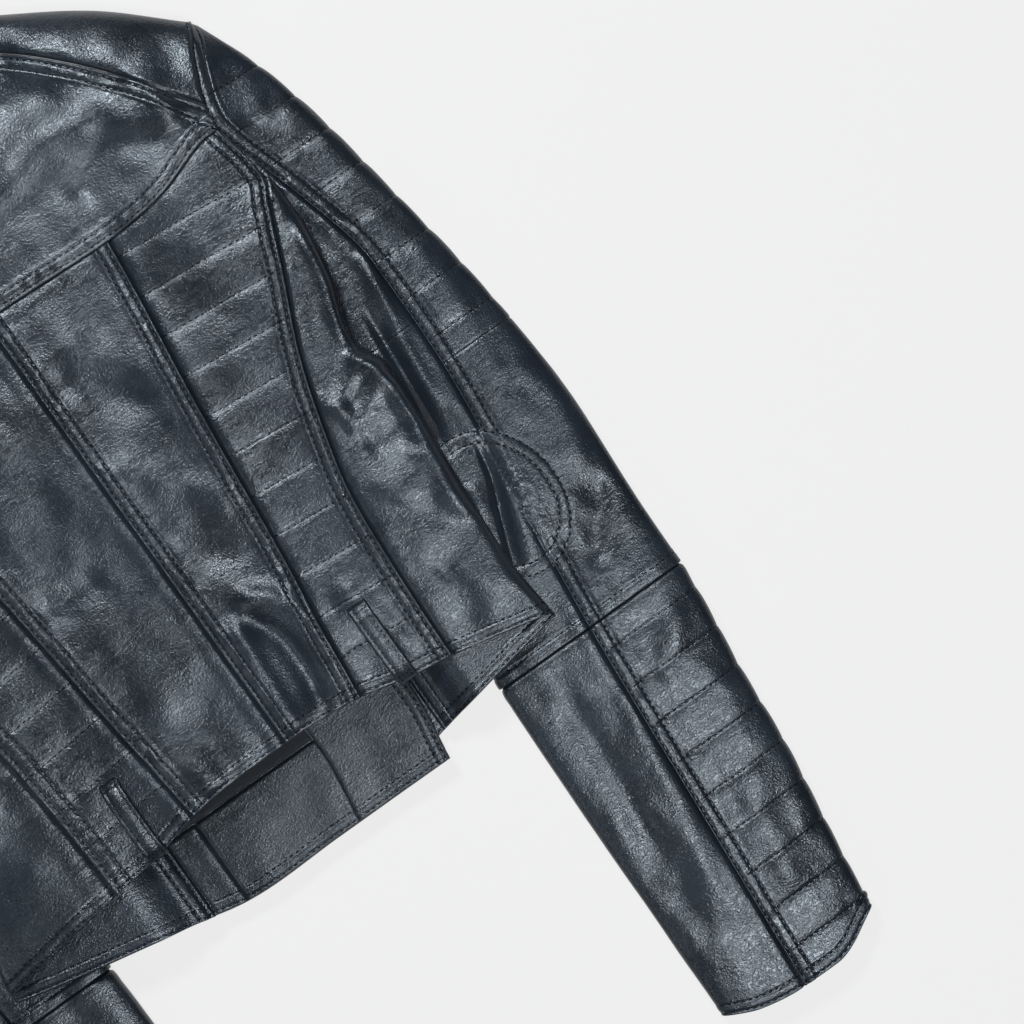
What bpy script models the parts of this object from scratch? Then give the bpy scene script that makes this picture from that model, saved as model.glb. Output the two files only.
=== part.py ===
"""Cropped riding jacket laid flat on its front, as separate leather panels, linings and zips.

The jacket lies in the XY plane with its back up: +Y runs to the collar, +X to the wearer's right,
+Z up. Plan positions below are in millimetres from a point on the hem at the middle of the back;
the whole jacket is then moved so that the origin is the middle of its base.
"""

import math

import bmesh
import bpy
import numpy as np

MM = 0.001

# Leather, lining and the gap that neighbouring pieces keep
LEATHER = 1.5
LINING = 0.6
FACING = 1.2
LAPEL = 1.8
COLLAR = 2.0
GAP = 0.3

# Heights of the layers above the surface, for the underside of each layer
LAPEL_Z = 0.0
RIGHT_FRONT_Z = 2.4
ZIP_Z = 4.3
RIGHT_INNER_Z = 5.4
LEFT_FRONT_Z = 7.3
LEFT_INNER_Z = 9.2
BACK_LINING_Z = 24.4
BACK_Z = 25.6
SIDE_RISE = 4.0
SLEEVE_TOP = 20.0

# The left half lies this much wider than the right, between these two distances from the middle
LEFT_SPREAD = 27.0
SPREAD_FROM = 90.0
SPREAD_TO = 173.0

QUILT_STEP = 25.7
QUILT_DIP = 0.5
ELBOW_Y = 39.0
ELBOW_SEAM_Y = -46.0
ELBOW_SWING = 30.0
SHOULDER_Y = 300.0
SHOULDER_X = 197.0
SHOULDER_SWING = 45.0
SWING_SPARE = 3.0
UPPER_SEAM_Y = 122.0
PATCH_CENTRE = (181.0, 40.0)
PATCH_HALF = (39.0, 47.0)

# Outlines of the right half as (y, x) points, read as smooth lines of y
SIDE_FOLD = [
    (-30, 172), (8, 169), (50, 171), (100, 175), (140, 177), (160, 169), (198, 180), (235, 185), (262, 184),
    (300, 174),
]
PRINCESS = [(-20, 112), (40, 114.5), (95, 119), (124, 125.8), (170, 140), (215, 160), (262, 180)]
QUILT_INNER = [(-20, 55), (80, 67), (167, 76), (240, 85), (284, 90)]
ARMHOLE = [(296, 174), (316, 176.8), (340, 186), (361, 197)]
CENTRE = [(-20, 8), (300, 8)]
SLEEVE_OUTER = [
    (-282, 221), (-268, 221.5), (-207, 229), (-163, 235.3), (-113, 239.4), (-55, 246), (5, 248), (66, 251),
    (122, 248.5), (161, 244.2), (224, 234.6), (289, 223.3), (326, 213.3), (361, 199),
]
SLEEVE_INNER = [
    (-282, 117), (-106, 119.5), (-42, 122), (39, 134), (122, 150), (190, 168), (240, 176), (300, 176.5),
]
SLEEVE_SEAM = [
    (-282, 165), (-162, 174), (-41, 183.5), (40, 193), (124, 202), (190, 203), (243, 192), (302, 178.5),
]
SLEEVE_HEIGHT = [(-282, 15), (-200, 17), (-60, 19), (120, 20), (240, 20), (300, 19)]

# Outlines as (x, y) points, read as smooth lines of x
BACK_HEM = [(-10, 0), (8, 0), (55, -3), (85, -10), (112, -14), (172, -27)]
RIGHT_FRONT_HEM = [(0, -60), (40, -58), (80, -47), (172, -29)]
LEFT_FRONT_HEM = [(-84, -61), (0, -61), (64, -60.5), (100, -52), (172, -31)]
YOKE_SEAM = [(-10, 289), (8, 289), (90, 286), (130, 289), (165, 300), (176, 301)]
SHOULDER_SEAM = [(60, 438), (100, 407), (140, 366), (177, 316)]
SHOULDER_EDGE = [(60, 456), (90, 440), (114, 426), (160, 396), (197, 362)]
NECK_HALF = 70.0
NECK_CENTRE_Y = 412.0
NECK_SIDE_Y = 431.0

FRONT_SPLIT = 84.0
ZIP_HEM = (38.0, -56.0)
ZIP_BREAK = (4.0, 196.0)
ZIP_HALF = 3.0
ZIP_SLIT = 0.8
TAPE = 0.6
TAPE_WIDTH = 11.0
PULL_Z = 0.3
PULL = 1.1
CORD = 1.5

COLOURS = {
    "leather": ((0.020, 0.023, 0.027), 0.38, 0.0),
    "lining": ((0.012, 0.012, 0.014), 0.55, 0.0),
    "tape": ((0.012, 0.012, 0.013), 0.80, 0.0),
    "metal": ((0.62, 0.62, 0.64), 0.25, 1.0),
}

jacket = None
pivots = {}


def smooth_line(points):
    """A function through the points, in the order of their first number, with no overshoot."""
    xs, ys = (np.array(values, float) for values in zip(*points))
    steps = np.diff(ys) / np.diff(xs)
    slopes = np.empty(len(xs))
    slopes[0], slopes[-1] = steps[0], steps[-1]
    slopes[1:-1] = np.where(steps[:-1] * steps[1:] > 0, (steps[:-1] + steps[1:]) / 2, 0.0)

    def value(at):
        at = np.clip(np.asarray(at, float), xs[0], xs[-1])
        i = np.clip(np.searchsorted(xs, at) - 1, 0, len(xs) - 2)
        width = xs[i + 1] - xs[i]
        t = (at - xs[i]) / width
        start = ys[i] * (1 + 2 * t) * (1 - t) ** 2 + slopes[i] * width * t * (1 - t) ** 2
        end = ys[i + 1] * t * t * (3 - 2 * t) + slopes[i + 1] * width * t * t * (t - 1)
        return start + end

    return value


def smoothstep(low, high, at):
    t = np.clip((np.asarray(at, float) - low) / (high - low), 0, 1)
    return t * t * (3 - 2 * t)


def material(kind):
    made = bpy.data.materials.get(kind)
    if made:
        return made
    colour, roughness, metallic = COLOURS[kind]
    made = bpy.data.materials.new(kind)
    made.use_nodes = True
    shader = made.node_tree.nodes["Principled BSDF"]
    shader.inputs["Base Color"].default_value = (*colour, 1)
    shader.inputs["Roughness"].default_value = roughness
    shader.inputs["Metallic"].default_value = metallic
    return made


def placed(points, side, rigid=False):
    """Points of the right half put on the given side: the left is its mirror image, spread outwards."""
    points = np.array(points, float)
    if side == "left":
        x = points[..., 0]
        spread = LEFT_SPREAD if rigid else LEFT_SPREAD * smoothstep(SPREAD_FROM, SPREAD_TO, x)
        points[..., 0] = -(x + spread)
    return points


def add_pivot(name, parent, point):
    """An empty on a joint's axis, which carries the pieces that move with it."""
    pivot = bpy.data.objects.new(name, None)
    bpy.context.scene.collection.objects.link(pivot)
    pivot.parent = parent
    pivots[pivot] = np.array(point, float)
    pivot.location = (pivots[pivot] - pivots.get(parent, 0)) * MM
    return pivot


def add_mesh(name, vertices, faces, kind, carrier=None):
    """A mesh object from points in millimetres, with its faces turned outwards."""
    carrier = carrier or jacket
    mesh = bpy.data.meshes.new(name)
    mesh.from_pydata(((np.asarray(vertices) - pivots[carrier]) * MM).tolist(), [], faces)
    work = bmesh.new()
    work.from_mesh(mesh)
    bmesh.ops.recalc_face_normals(work, faces=work.faces)
    work.to_mesh(mesh)
    work.free()
    mesh.materials.append(material(kind))
    mesh.shade_smooth()
    mesh.set_sharp_from_angle(angle=math.radians(35))
    obj = bpy.data.objects.new(name, mesh)
    bpy.context.scene.collection.objects.link(obj)
    obj.parent = carrier
    return obj


def skin(name, first, second, kind, carrier=None, ring=False):
    """A closed solid between two grids of points, joined round their edges; a ring closes on itself."""
    rows, columns = first.shape[:2]
    size = rows * columns
    index = np.arange(size).reshape(rows, columns)
    if ring:
        index = np.concatenate([index, index[:, :1]], axis=1)
    faces = []
    for i in range(index.shape[0] - 1):
        for j in range(index.shape[1] - 1):
            a, b, c, d = index[i, j], index[i, j + 1], index[i + 1, j + 1], index[i + 1, j]
            faces += [(a, b, c, d), (size + d, size + c, size + b, size + a)]
    edges = [index[0], index[-1][::-1]]
    if not ring:
        edges += [index[:, -1], index[:, 0][::-1]]
    for edge in edges:
        for a, b in zip(edge[:-1], edge[1:]):
            faces.append((b, a, size + a, size + b))
    vertices = np.concatenate([first.reshape(-1, 3), second.reshape(-1, 3)])
    return add_mesh(name, vertices, [tuple(int(v) for v in face) for face in faces], kind, carrier)


def constant(value):
    return lambda at: np.full(np.shape(at), float(value))


def constant_level(z):
    return lambda x, y: np.full(np.shape(x), float(z))


def plan_grid(left, right, low, high, rows, columns):
    """Plan points of a panel between two lines of y and two lines of x, with the gap taken off."""
    t = np.asarray(rows, float)[:, None] if np.ndim(rows) else np.linspace(0, 1, rows)[:, None]
    s = np.linspace(0, 1, columns)[None, :]
    x = np.full((len(t), columns), (float(left(0)) + float(right(0))) / 2)
    y = np.zeros_like(x)
    for _ in range(30):
        y = (low(x) + GAP / 2) * (1 - t) + (high(x) - GAP / 2) * t
        x = (left(y) + GAP / 2) * (1 - s) + (right(y) - GAP / 2) * s
    return x, y


def panel(
    name, side, left, right, low, high, underside, thickness=LEATHER, kind="leather", rows=9, columns=7
):
    """A flat-lying panel: its plan from plan_grid, its underside a height over the plan."""
    x, y = plan_grid(left, right, low, high, rows, columns)
    z = underside(x, y)
    under = np.stack([x, y, z], axis=-1)
    over = np.stack([x, y, z + thickness], axis=-1)
    return skin(name, placed(over, side), placed(under, side), kind)


def quilt_dip(y):
    """How far a quilted skin sinks at its rows of stitching."""
    return QUILT_DIP * np.abs(np.cos(np.pi * (y - UPPER_SEAM_Y) / QUILT_STEP)) ** 6


def back_height(x, y):
    rise = SIDE_RISE * smoothstep(85, 140, x)
    edge = 3.0 * smoothstep(150, 185, x)
    top = 7.0 * smoothstep(390, 440, y)
    return BACK_Z + rise - edge - top


def shoulder_height(x, y):
    """The strip that rolls over the shoulder, from the back's height down to the front's."""
    seam, edge = smooth_line(SHOULDER_SEAM)(x), smooth_line(SHOULDER_EDGE)(x)
    across = np.clip((y - seam) / (edge - seam), 0, 1)
    return back_height(x, seam) * (1 - across ** 2) + 13.0 * across ** 2


def build_back(side):
    centre = smooth_line(CENTRE) if side == "right" else (lambda y: -smooth_line(CENTRE)(y))
    inner, princess, fold = (smooth_line(line) for line in (QUILT_INNER, PRINCESS, SIDE_FOLD))
    hem, yoke = smooth_line(BACK_HEM), smooth_line(YOKE_SEAM)
    panel(f"back_centre_panel_{side}", side, centre, inner, hem, yoke, back_height, rows=6, columns=4)
    lines = np.arange(-20, 290, QUILT_STEP / 2)
    quilt_rows = np.concatenate([[0], (lines[1:-1] - lines[0]) / (lines[-1] - lines[0]), [1]])

    def quilted(x, y):
        return back_height(x, y) - quilt_dip(y)

    top = smooth_line([(85, 285), (165, 285), (176, 280), (182, 262)])
    panel(f"back_quilted_panel_{side}", side, inner, princess, hem, top, quilted, rows=quilt_rows, columns=4)
    side_top = constant(258)
    panel(f"side_back_panel_{side}", side, princess, fold, hem, side_top, back_height, rows=12, columns=4)


def build_yoke():
    """One piece across the back, from armhole to armhole."""
    yoke, shoulder = smooth_line(YOKE_SEAM), smooth_line(SHOULDER_SEAM)
    neck = smooth_line([(-NECK_HALF, NECK_SIDE_Y), (0, NECK_CENTRE_Y), (NECK_HALF, NECK_SIDE_Y)])
    half = np.linspace(0, 1, 10)
    armhole = smooth_line(ARMHOLE)
    rows = []
    for t in np.linspace(0, 1, 7):
        right = []
        for s in half:
            x = s * (174.0 - 1.0)
            for _ in range(20):
                high = float(np.where(x < NECK_HALF, neck(x), shoulder(x)))
                y = (float(yoke(x)) + GAP / 2) * (1 - t) + (high - GAP / 2) * t
                x = s * (float(armhole(y)) - GAP / 2)
            right.append((x, y, float(back_height(x, y))))
        right = np.array(right)
        left = placed(right, "left")[:0:-1]
        rows.append(np.concatenate([left, right]))
    under = np.array(rows)
    skin("back_yoke", under + [0, 0, LEATHER], under, "leather")


def build_shoulder(side):
    panel(
        f"front_shoulder_panel_{side}", side,
        constant(NECK_HALF + 3), smooth_line(ARMHOLE),
        lambda x: smooth_line(SHOULDER_SEAM)(x) + 0.8, smooth_line(SHOULDER_EDGE),
        shoulder_height, rows=5, columns=9,
    )


def zip_x(y):
    """Where the main zip's middle lies at a height up the front."""
    share = (np.asarray(y, float) - ZIP_HEM[1]) / (ZIP_BREAK[1] - ZIP_HEM[1])
    return ZIP_HEM[0] + (ZIP_BREAK[0] - ZIP_HEM[0]) * share


def front_top(x):
    """The top of a front: the neckline, then the edge where it rolls over the shoulder."""
    neckline = smooth_line([(-200, 300), (0, 330), (60, 438), (86, 436)])
    return np.where(x < 62, neckline(x), smooth_line(SHOULDER_EDGE)(np.maximum(x, 62)) - 4)


def level(z):
    """A flat layer that lifts towards the shoulder."""
    return lambda x, y: z + (10.5 - z) * smoothstep(405, 440, y) + 0 * x


def underlap(y):
    """The left front's free edge, which passes under the zip and on towards the right."""
    return smooth_line([(-61, -76.5), (-17, -82), (200, -44), (440, -30)])(y)


def build_right_front():
    hem = smooth_line(RIGHT_FRONT_HEM)
    edge = constant(FRONT_SPLIT)

    def facing_top(x):
        return np.minimum(front_top(x) - 8, 340)

    panel(
        "front_panel_right", "right", lambda y: zip_x(y) + ZIP_HALF + 2.4, edge, hem, front_top,
        level(RIGHT_FRONT_Z), rows=14, columns=5,
    )
    panel(
        "front_facing_right", "right", lambda y: zip_x(y) + 14, lambda y: zip_x(y) + 40, hem, facing_top,
        constant_level(RIGHT_INNER_Z), FACING, rows=8, columns=3,
    )
    panel(
        "front_lining_right", "right", lambda y: zip_x(y) + 41, constant(FRONT_SPLIT - 1),
        lambda x: hem(x) + 20, facing_top, constant_level(RIGHT_INNER_Z), LINING, "lining", rows=6, columns=2,
    )


def build_left_front():
    hem = smooth_line(LEFT_FRONT_HEM)
    edge = constant(FRONT_SPLIT)

    def facing_top(x):
        return np.minimum(front_top(x) - 8, 340)

    panel(
        "front_panel_left", "left", underlap, edge, hem, front_top, level(LEFT_FRONT_Z), rows=14, columns=7,
    )
    panel(
        "front_facing_left", "left", lambda y: underlap(y) + 2, lambda y: underlap(y) + 62, hem, facing_top,
        constant_level(LEFT_INNER_Z), FACING, rows=8, columns=3,
    )
    panel(
        "front_lining_left", "left", lambda y: underlap(y) + 63, constant(FRONT_SPLIT - 1),
        lambda x: hem(x) + 20, facing_top, constant_level(LEFT_INNER_Z), LINING, "lining", rows=6, columns=3,
    )


def build_front_side(side):
    """The front's side panel climbs over the sleeve and meets the back at the side fold."""
    hem = smooth_line(RIGHT_FRONT_HEM if side == "right" else LEFT_FRONT_HEM)
    lift = 0.0 if side == "right" else LEFT_FRONT_Z - RIGHT_FRONT_Z
    top = smooth_line([(FRONT_SPLIT, 432), (110, 300), (130, 278), (185, 262)])
    climbed = SLEEVE_TOP + 3.6

    def climbing(x, y):
        start = RIGHT_FRONT_Z + lift
        return start + (climbed - start) * smoothstep(78, 112, x)

    panel(
        f"front_side_panel_{side}", side, constant(FRONT_SPLIT), smooth_line(SIDE_FOLD), hem, top,
        climbing, rows=10, columns=8,
    )


def build_lapels():
    """Each lapel is turned back on the outside of its front, so it lies lowest."""
    for side, start in (("right", 6.0), ("left", 34.0)):
        inner = smooth_line([(150, start + 2), (200, start), (300, start + 14), (372, start + 30)])
        outer = smooth_line([(150, start + 8), (200, start + 42), (300, start + 66), (372, start + 52)])
        top = smooth_line([(start, 356), (start + 60, 372)])
        panel(
            f"lapel_{side}", side, inner, outer, constant(205), top, constant_level(LAPEL_Z), LAPEL,
            rows=8, columns=4,
        )


def build_collar():
    """A stand that rises from the neck seam, a fall turned down over the yoke, and two front leaves."""
    neck = smooth_line([(-NECK_HALF, NECK_SIDE_Y), (0, NECK_CENTRE_Y), (NECK_HALF, NECK_SIDE_Y)])
    left, right = constant(-NECK_HALF + 2), constant(NECK_HALF - 2)
    top = smooth_line([(-NECK_HALF, 449), (0, 446), (NECK_HALF, 449)])

    def stand(x, y):
        return back_height(np.abs(x), y) - 2.2 + 4.0 * smoothstep(425, 447, y)

    panel("collar_stand", "right", left, right, lambda x: neck(x) + 0.6, top, stand, rows=3, columns=9)
    fall_edge = smooth_line([(-NECK_HALF, 380), (0, 366), (NECK_HALF, 380)])

    def fall(x, y):
        return BACK_Z + LEATHER + 0.9 - 2.0 * smoothstep(415, 449, y)

    panel("collar_fall", "right", left, right, fall_edge, top, fall, COLLAR, rows=5, columns=9)
    for side, start in (("right", 38.0), ("left", 66.0)):
        inner = smooth_line([(376, start + 6), (436, 60)])
        outer = smooth_line([(376, start + 46), (436, start + 44)])
        panel(
            f"collar_leaf_{side}", side, inner, outer, constant(378), constant(430),
            constant_level(LAPEL_Z), rows=4, columns=4,
        )


def build_lining():
    """The back lining, one sheet under the back panels."""
    hem = smooth_line(BACK_HEM)
    rows = []
    for t in np.linspace(0, 1, 8):
        right = []
        for s in np.linspace(0, 1, 8):
            x = s * 81.0
            y = (float(hem(x)) + 16) * (1 - t) + 402.0 * t
            right.append((x, y, BACK_LINING_Z - 7.5 * float(smoothstep(380, 440, y))))
        right = np.array(right)
        rows.append(np.concatenate([placed(right, "left")[:0:-1], right]))
    under = np.array(rows)
    skin("back_lining", under + [0, 0, LINING], under, "lining")


def tube_point(y, angle, inset):
    """Points on a sleeve's flattened tube, inset from its outer skin; angle 0 is the outer edge."""
    outer, inner = smooth_line(SLEEVE_OUTER)(y), smooth_line(SLEEVE_INNER)(y)
    height = smooth_line(SLEEVE_HEIGHT)(y)
    half, high = (outer - inner) / 2 - inset, height / 2 - inset
    c, s = np.cos(angle), np.sin(angle)
    x = (outer + inner) / 2 + half * np.sign(c) * np.abs(c) ** 0.75
    z = height / 2 + high * np.sign(s) * np.abs(s) ** 0.6
    return x, z


def seam_angle(y, clearance, below):
    """The angle at which the lengthwise seam lies on top of the sleeve, or below it."""
    outer, inner = smooth_line(SLEEVE_OUTER)(y), smooth_line(SLEEVE_INNER)(y)
    share = (smooth_line(SLEEVE_SEAM)(y) + clearance - (outer + inner) / 2) / ((outer - inner) / 2)
    share = np.clip(share, -0.95, 0.95)
    angle = np.arccos(np.sign(share) * np.abs(share) ** (1 / 0.75))
    return 2 * np.pi - angle if below else angle


def tube_grid(start_angle, end_angle, low, high, rows, columns, inset):
    """Points of a sleeve panel between two angles of y and two lines of x."""
    t = np.asarray(rows, float)[:, None] if np.ndim(rows) else np.linspace(0, 1, rows)[:, None]
    s = np.linspace(0, 1, columns)[None, :]
    y = np.zeros((len(t), columns)) + (low(180.0) + high(180.0)) / 2
    for _ in range(30):
        angle = start_angle(y) * (1 - s) + end_angle(y) * s
        x, z = tube_point(y, angle, inset)
        y = (low(x) + GAP / 2) * (1 - t) + (high(x) - GAP / 2) * t
    return np.stack([x, y, z], axis=-1)


def tube_panel(name, side, carrier, start_angle, end_angle, low, high, rows=8, columns=9, quilted=False):
    """A panel of a sleeve, wrapped part of the way round it."""
    outside = tube_grid(start_angle, end_angle, low, high, rows, columns, 0.0)
    if quilted:
        dip = quilt_dip(outside[..., 1])
        centre = tube_grid(start_angle, end_angle, low, high, rows, columns, 6.0)
        outside += (centre - outside) / 6.0 * dip[..., None]
    inside = tube_grid(start_angle, end_angle, low, high, rows, columns, LEATHER + QUILT_DIP * quilted)
    return skin(name, placed(outside, side, True), placed(inside, side, True), "leather", carrier)


def sleeve_tube(name, side, carrier, low, high, rows):
    """A sleeve's lining: a whole tube just inside its panels."""
    skins = []
    for inset in (LEATHER + QUILT_DIP + 0.8, LEATHER + QUILT_DIP + 0.8 + LINING):
        grid = tube_grid(constant(0), constant(2 * np.pi), low, high, rows, 15, inset)
        skins.append(placed(grid[:, :-1], side, True))
    skin(name, *skins, "lining", carrier, ring=True)


def swing_cut(centre_x, centre_y, degrees):
    """The upper piece's lower end: level as far as the pivot, then rising to leave room for the swing."""
    rise = math.tan(math.radians(degrees))
    return lambda x: centre_y + np.maximum(0, np.asarray(x, float) - centre_x) * rise


def build_sleeve(side):
    clearance = GAP / 2

    def top_outer(y):
        return seam_angle(y, clearance, False)

    def bottom_outer(y):
        return seam_angle(y, clearance, True) - 2 * np.pi

    def top_inner(y):
        return seam_angle(y, -clearance, False)

    def bottom_inner(y):
        return seam_angle(y, -clearance, True)

    elbow_cut = swing_cut(elbow_x(), ELBOW_Y, ELBOW_SWING + SWING_SPARE)
    shoulder_point = placed((SHOULDER_X, SHOULDER_Y, SLEEVE_TOP / 2), side, True)
    elbow_point = placed((elbow_x(), ELBOW_Y, SLEEVE_TOP / 2), side, True)
    upper_arm = add_pivot(f"shoulder_pivot_{side}", jacket, shoulder_point)
    forearm = add_pivot(f"elbow_pivot_{side}", upper_arm, elbow_point)
    shoulder = constant(SHOULDER_Y - 0.4)
    below_elbow = constant(ELBOW_Y - 0.4)
    cuff = smooth_line([(117, -269), (137, -277), (165, -281), (187, -281), (222, -267)])
    seam, upper = constant(ELBOW_SEAM_Y), constant(UPPER_SEAM_Y)
    outside, inside = (bottom_outer, top_outer), (top_inner, bottom_inner)
    for name, carrier, span, low, high, rows, quilted in (
        ("sleeve_upper_quilted", upper_arm, outside, upper, shoulder, 15, True),
        ("elbow_panel_upper", upper_arm, outside, elbow_cut, upper, 5, False),
        ("undersleeve_upper", upper_arm, inside, elbow_cut, constant(236), 9, False),
        ("elbow_panel_lower", forearm, outside, seam, below_elbow, 5, False),
        ("undersleeve_elbow", forearm, inside, seam, below_elbow, 5, False),
        ("forearm_quilted", forearm, outside, cuff, seam, 18, True),
        ("undersleeve_forearm", forearm, inside, cuff, seam, 7, False),
    ):
        tube_panel(f"{name}_{side}", side, carrier, *span, low, high, rows, 9, quilted)
    lining = f"sleeve_lining_upper_{side}"
    sleeve_tube(lining, side, upper_arm, lambda x: elbow_cut(x) + 2, constant(232), 9)
    lining = f"sleeve_lining_lower_{side}"
    sleeve_tube(lining, side, forearm, lambda x: cuff(x) + 14, constant(ELBOW_Y - 3), 8)
    build_cap(side)
    build_elbow_patch(side, upper_arm)


def build_cap(side):
    """The head of the sleeve above the swing, sewn to the armhole."""
    cut = swing_cut(SHOULDER_X, SHOULDER_Y, SHOULDER_SWING + SWING_SPARE)
    armhole, outer = smooth_line(ARMHOLE), smooth_line(SLEEVE_OUTER)
    rows = []
    for t in np.linspace(0, 1, 6):
        row = []
        for s in np.linspace(0, 1, 6):
            y = SHOULDER_Y + 30
            for _ in range(40):
                x = (float(armhole(y)) + GAP) * (1 - s) + (float(outer(y)) - 1) * s
                y = float(cut(x)) * (1 - t) + 357.0 * t
            row.append((x, y, 20.5 - 12.0 * s * s))
        rows.append(row)
    under = np.array(rows)
    under = placed(under, side, True)
    skin(f"sleeve_cap_{side}", under + [0, 0, LEATHER], under, "leather")


def elbow_x():
    """The elbow's pivot, on the sleeve's middle line."""
    return float(smooth_line(SLEEVE_OUTER)(ELBOW_Y) + smooth_line(SLEEVE_INNER)(ELBOW_Y)) / 2


def build_elbow_patch(side, carrier):
    """An oval pad on the elbow, lying on the sleeve's top."""
    rings, around = 4, 24
    (x, y), (half_x, half_y) = PATCH_CENTRE, PATCH_HALF
    vertices = []
    for z, swell in ((SLEEVE_TOP + 0.4, 0.0), (SLEEVE_TOP + 1.9, 0.6)):
        vertices.append((x, y, z + swell))
        for share in np.arange(1, rings + 1) / rings:
            height = z + swell * (1 - share ** 3)
            for turn in np.arange(around) * 2 * math.pi / around:
                across, along = half_x * share * math.cos(turn), half_y * share * math.sin(turn)
                vertices.append((x + across, y + along, height))
    per = 1 + rings * around
    faces = []
    for base in (0, per):
        for a in range(around):
            b = (a + 1) % around
            faces.append((base, base + 1 + a, base + 1 + b))
            for k in range(rings - 1):
                p, q = base + 1 + k * around, base + 1 + (k + 1) * around
                faces.append((p + a, q + a, q + b, p + b))
    last = 1 + (rings - 1) * around
    for a in range(around):
        p, q = last + a, last + (a + 1) % around
        faces.append((p, q, per + q, per + p))
    add_mesh(f"elbow_patch_{side}", placed(vertices, side, True), faces, "leather", carrier)


def build_belt_loop(side):
    """A bowed strap standing off the hem: its ends lie on the panel and a belt passes under it."""
    x_middle = 85.0
    half, low, high, stand = 5.5, -11.0, 40.0, 6.4
    rows = []
    for t in np.linspace(0, 1, 15):
        y = low + (high - low) * t
        lift = 0.4 + stand * (1 - abs(2 * t - 1) ** 4)
        base = float(back_height(x_middle, y)) + LEATHER
        rows.append([(x, y, base + lift) for x in (x_middle - half, x_middle + half)])
    under = np.array(rows)
    under = placed(under, side)
    skin(f"belt_loop_{side}", under + [0, 0, 1.8], under, "leather")


def build_hanger_loop():
    """The loop of cord inside the neck, for a hook."""
    rows = []
    for t in np.linspace(0, 1, 17):
        turn = math.pi * t
        ring = []
        for a in range(8):
            swing = 2 * math.pi * a / 8
            radius = 12.0 + CORD * math.cos(swing)
            x, y = 2.2 * radius * math.cos(turn), 403.0 - radius * math.sin(turn)
            ring.append((x, y, 13.0 + CORD * math.sin(swing)))
        rows.append(ring)
    rows = np.array(rows)
    faces = [tuple(range(8)), tuple(16 * 8 + k for k in range(8))[::-1]]
    for i in range(16):
        for a in range(8):
            b = (a + 1) % 8
            faces.append((i * 8 + a, i * 8 + b, (i + 1) * 8 + b, (i + 1) * 8 + a))
    add_mesh("hanger_loop", rows.reshape(-1, 3), faces, "tape")


def build_rivet():
    """A small domed rivet over the yoke seam."""
    profile = [(0.0, 1.2), (1.1, 1.0), (1.8, 0.5), (2.0, 0.0)]
    x, y, base = 21.0, 297.0, float(back_height(21.0, 297.0)) + LEATHER + GAP
    around = 12
    vertices = [(x, y, base + profile[0][1])]
    for radius, height in profile[1:]:
        for a in range(around):
            turn = 2 * math.pi * a / around
            vertices.append((x + radius * math.cos(turn), y + radius * math.sin(turn), base + height))
    faces = [(0, 1 + a, 1 + (a + 1) % around) for a in range(around)]
    for k in range(len(profile) - 2):
        p, q = 1 + k * around, 1 + (k + 1) * around
        faces += [(p + a, q + a, q + (a + 1) % around, p + (a + 1) % around) for a in range(around)]
    faces.append(tuple(1 + (len(profile) - 2) * around + a for a in range(around))[::-1])
    add_mesh("yoke_rivet", vertices, faces, "metal")


def build_zip_half(name, sign):
    """A tape with its chain of teeth, as one solid, on one side of the slit between the halves."""
    start, end = np.array(ZIP_HEM), np.array(ZIP_BREAK)
    along = (end - start) / np.linalg.norm(end - start)
    across = np.array([along[1], -along[0]]) * sign
    stations = [(ZIP_SLIT, 1.1), (ZIP_HALF, 1.1), (ZIP_HALF + 0.2, TAPE / 2), (TAPE_WIDTH, TAPE / 2)]
    over = []
    for point in (start, end):
        over.append([(*(point + across * offset), ZIP_Z + half) for offset, half in stations])
    under = np.array(over) * [1, 1, -1] + [0, 0, 2 * ZIP_Z]
    skin(name, np.array(over), under, "tape")


def build_slider(name, centre, direction, carrier):
    """Two plates joined by a web that runs in the slit between the zip's halves."""
    across = np.array([direction[1], -direction[0]])
    half_length, half_width = 6.0, 4.2
    plate, clear, web = 0.9, 1.5, 0.35
    right = [(half_width, -clear - plate), (half_width, -clear), (web, -clear)]
    right += [(offset, -height) for offset, height in reversed(right)]
    outline = right + [(-offset, height) for offset, height in reversed(right)]
    vertices = []
    for end in (-half_length, half_length):
        for offset, height in outline:
            p = np.array(centre, float) + direction * end + across * offset
            vertices.append((*p, ZIP_Z + height))
    n = len(outline)
    faces = [(k, (k + 1) % n, n + (k + 1) % n, n + k) for k in range(n)]
    for cap in ((11, 0, 1, 2, 9, 10), (2, 3, 8, 9), (3, 4, 5, 6, 7, 8)):
        faces += [cap, tuple(n + v for v in reversed(cap))]
    add_mesh(name, vertices, faces, "metal", carrier)


def build_pull(name, hinge, direction, length, carrier):
    """A flat tab with a hole, lying below the slider from its hinge."""
    across = np.array([direction[1], -direction[0]])
    outline = [(0.0, 2.2), (length * 0.55, 2.6), (length, 3.6)]
    hole = [(length * 0.62, 1.3), (length * 0.85, 1.8)]
    points = []
    for edge in (outline, hole):
        points += [(at, -offset) for at, offset in edge] + [(at, offset) for at, offset in reversed(edge)]
    quads = [(0, 1, 6), (0, 6, 9, 5), (5, 9, 4), (1, 2, 7, 6), (2, 3, 8, 7), (3, 4, 9, 8)]
    vertices = []
    for height in (0.0, PULL):
        for at, offset in points:
            p = np.array(hinge, float) + direction * at + across * offset
            vertices.append((*p, PULL_Z + height))
    n = len(points)
    faces = []
    for quad in quads:
        faces += [quad, tuple(n + v for v in reversed(quad))]
    for loop in ([0, 1, 2, 3, 4, 5], [9, 8, 7, 6]):
        faces += [(a, b, n + b, n + a) for a, b in zip(loop, loop[1:] + loop[:1])]
    add_mesh(name, vertices, faces, "metal", carrier)


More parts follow.
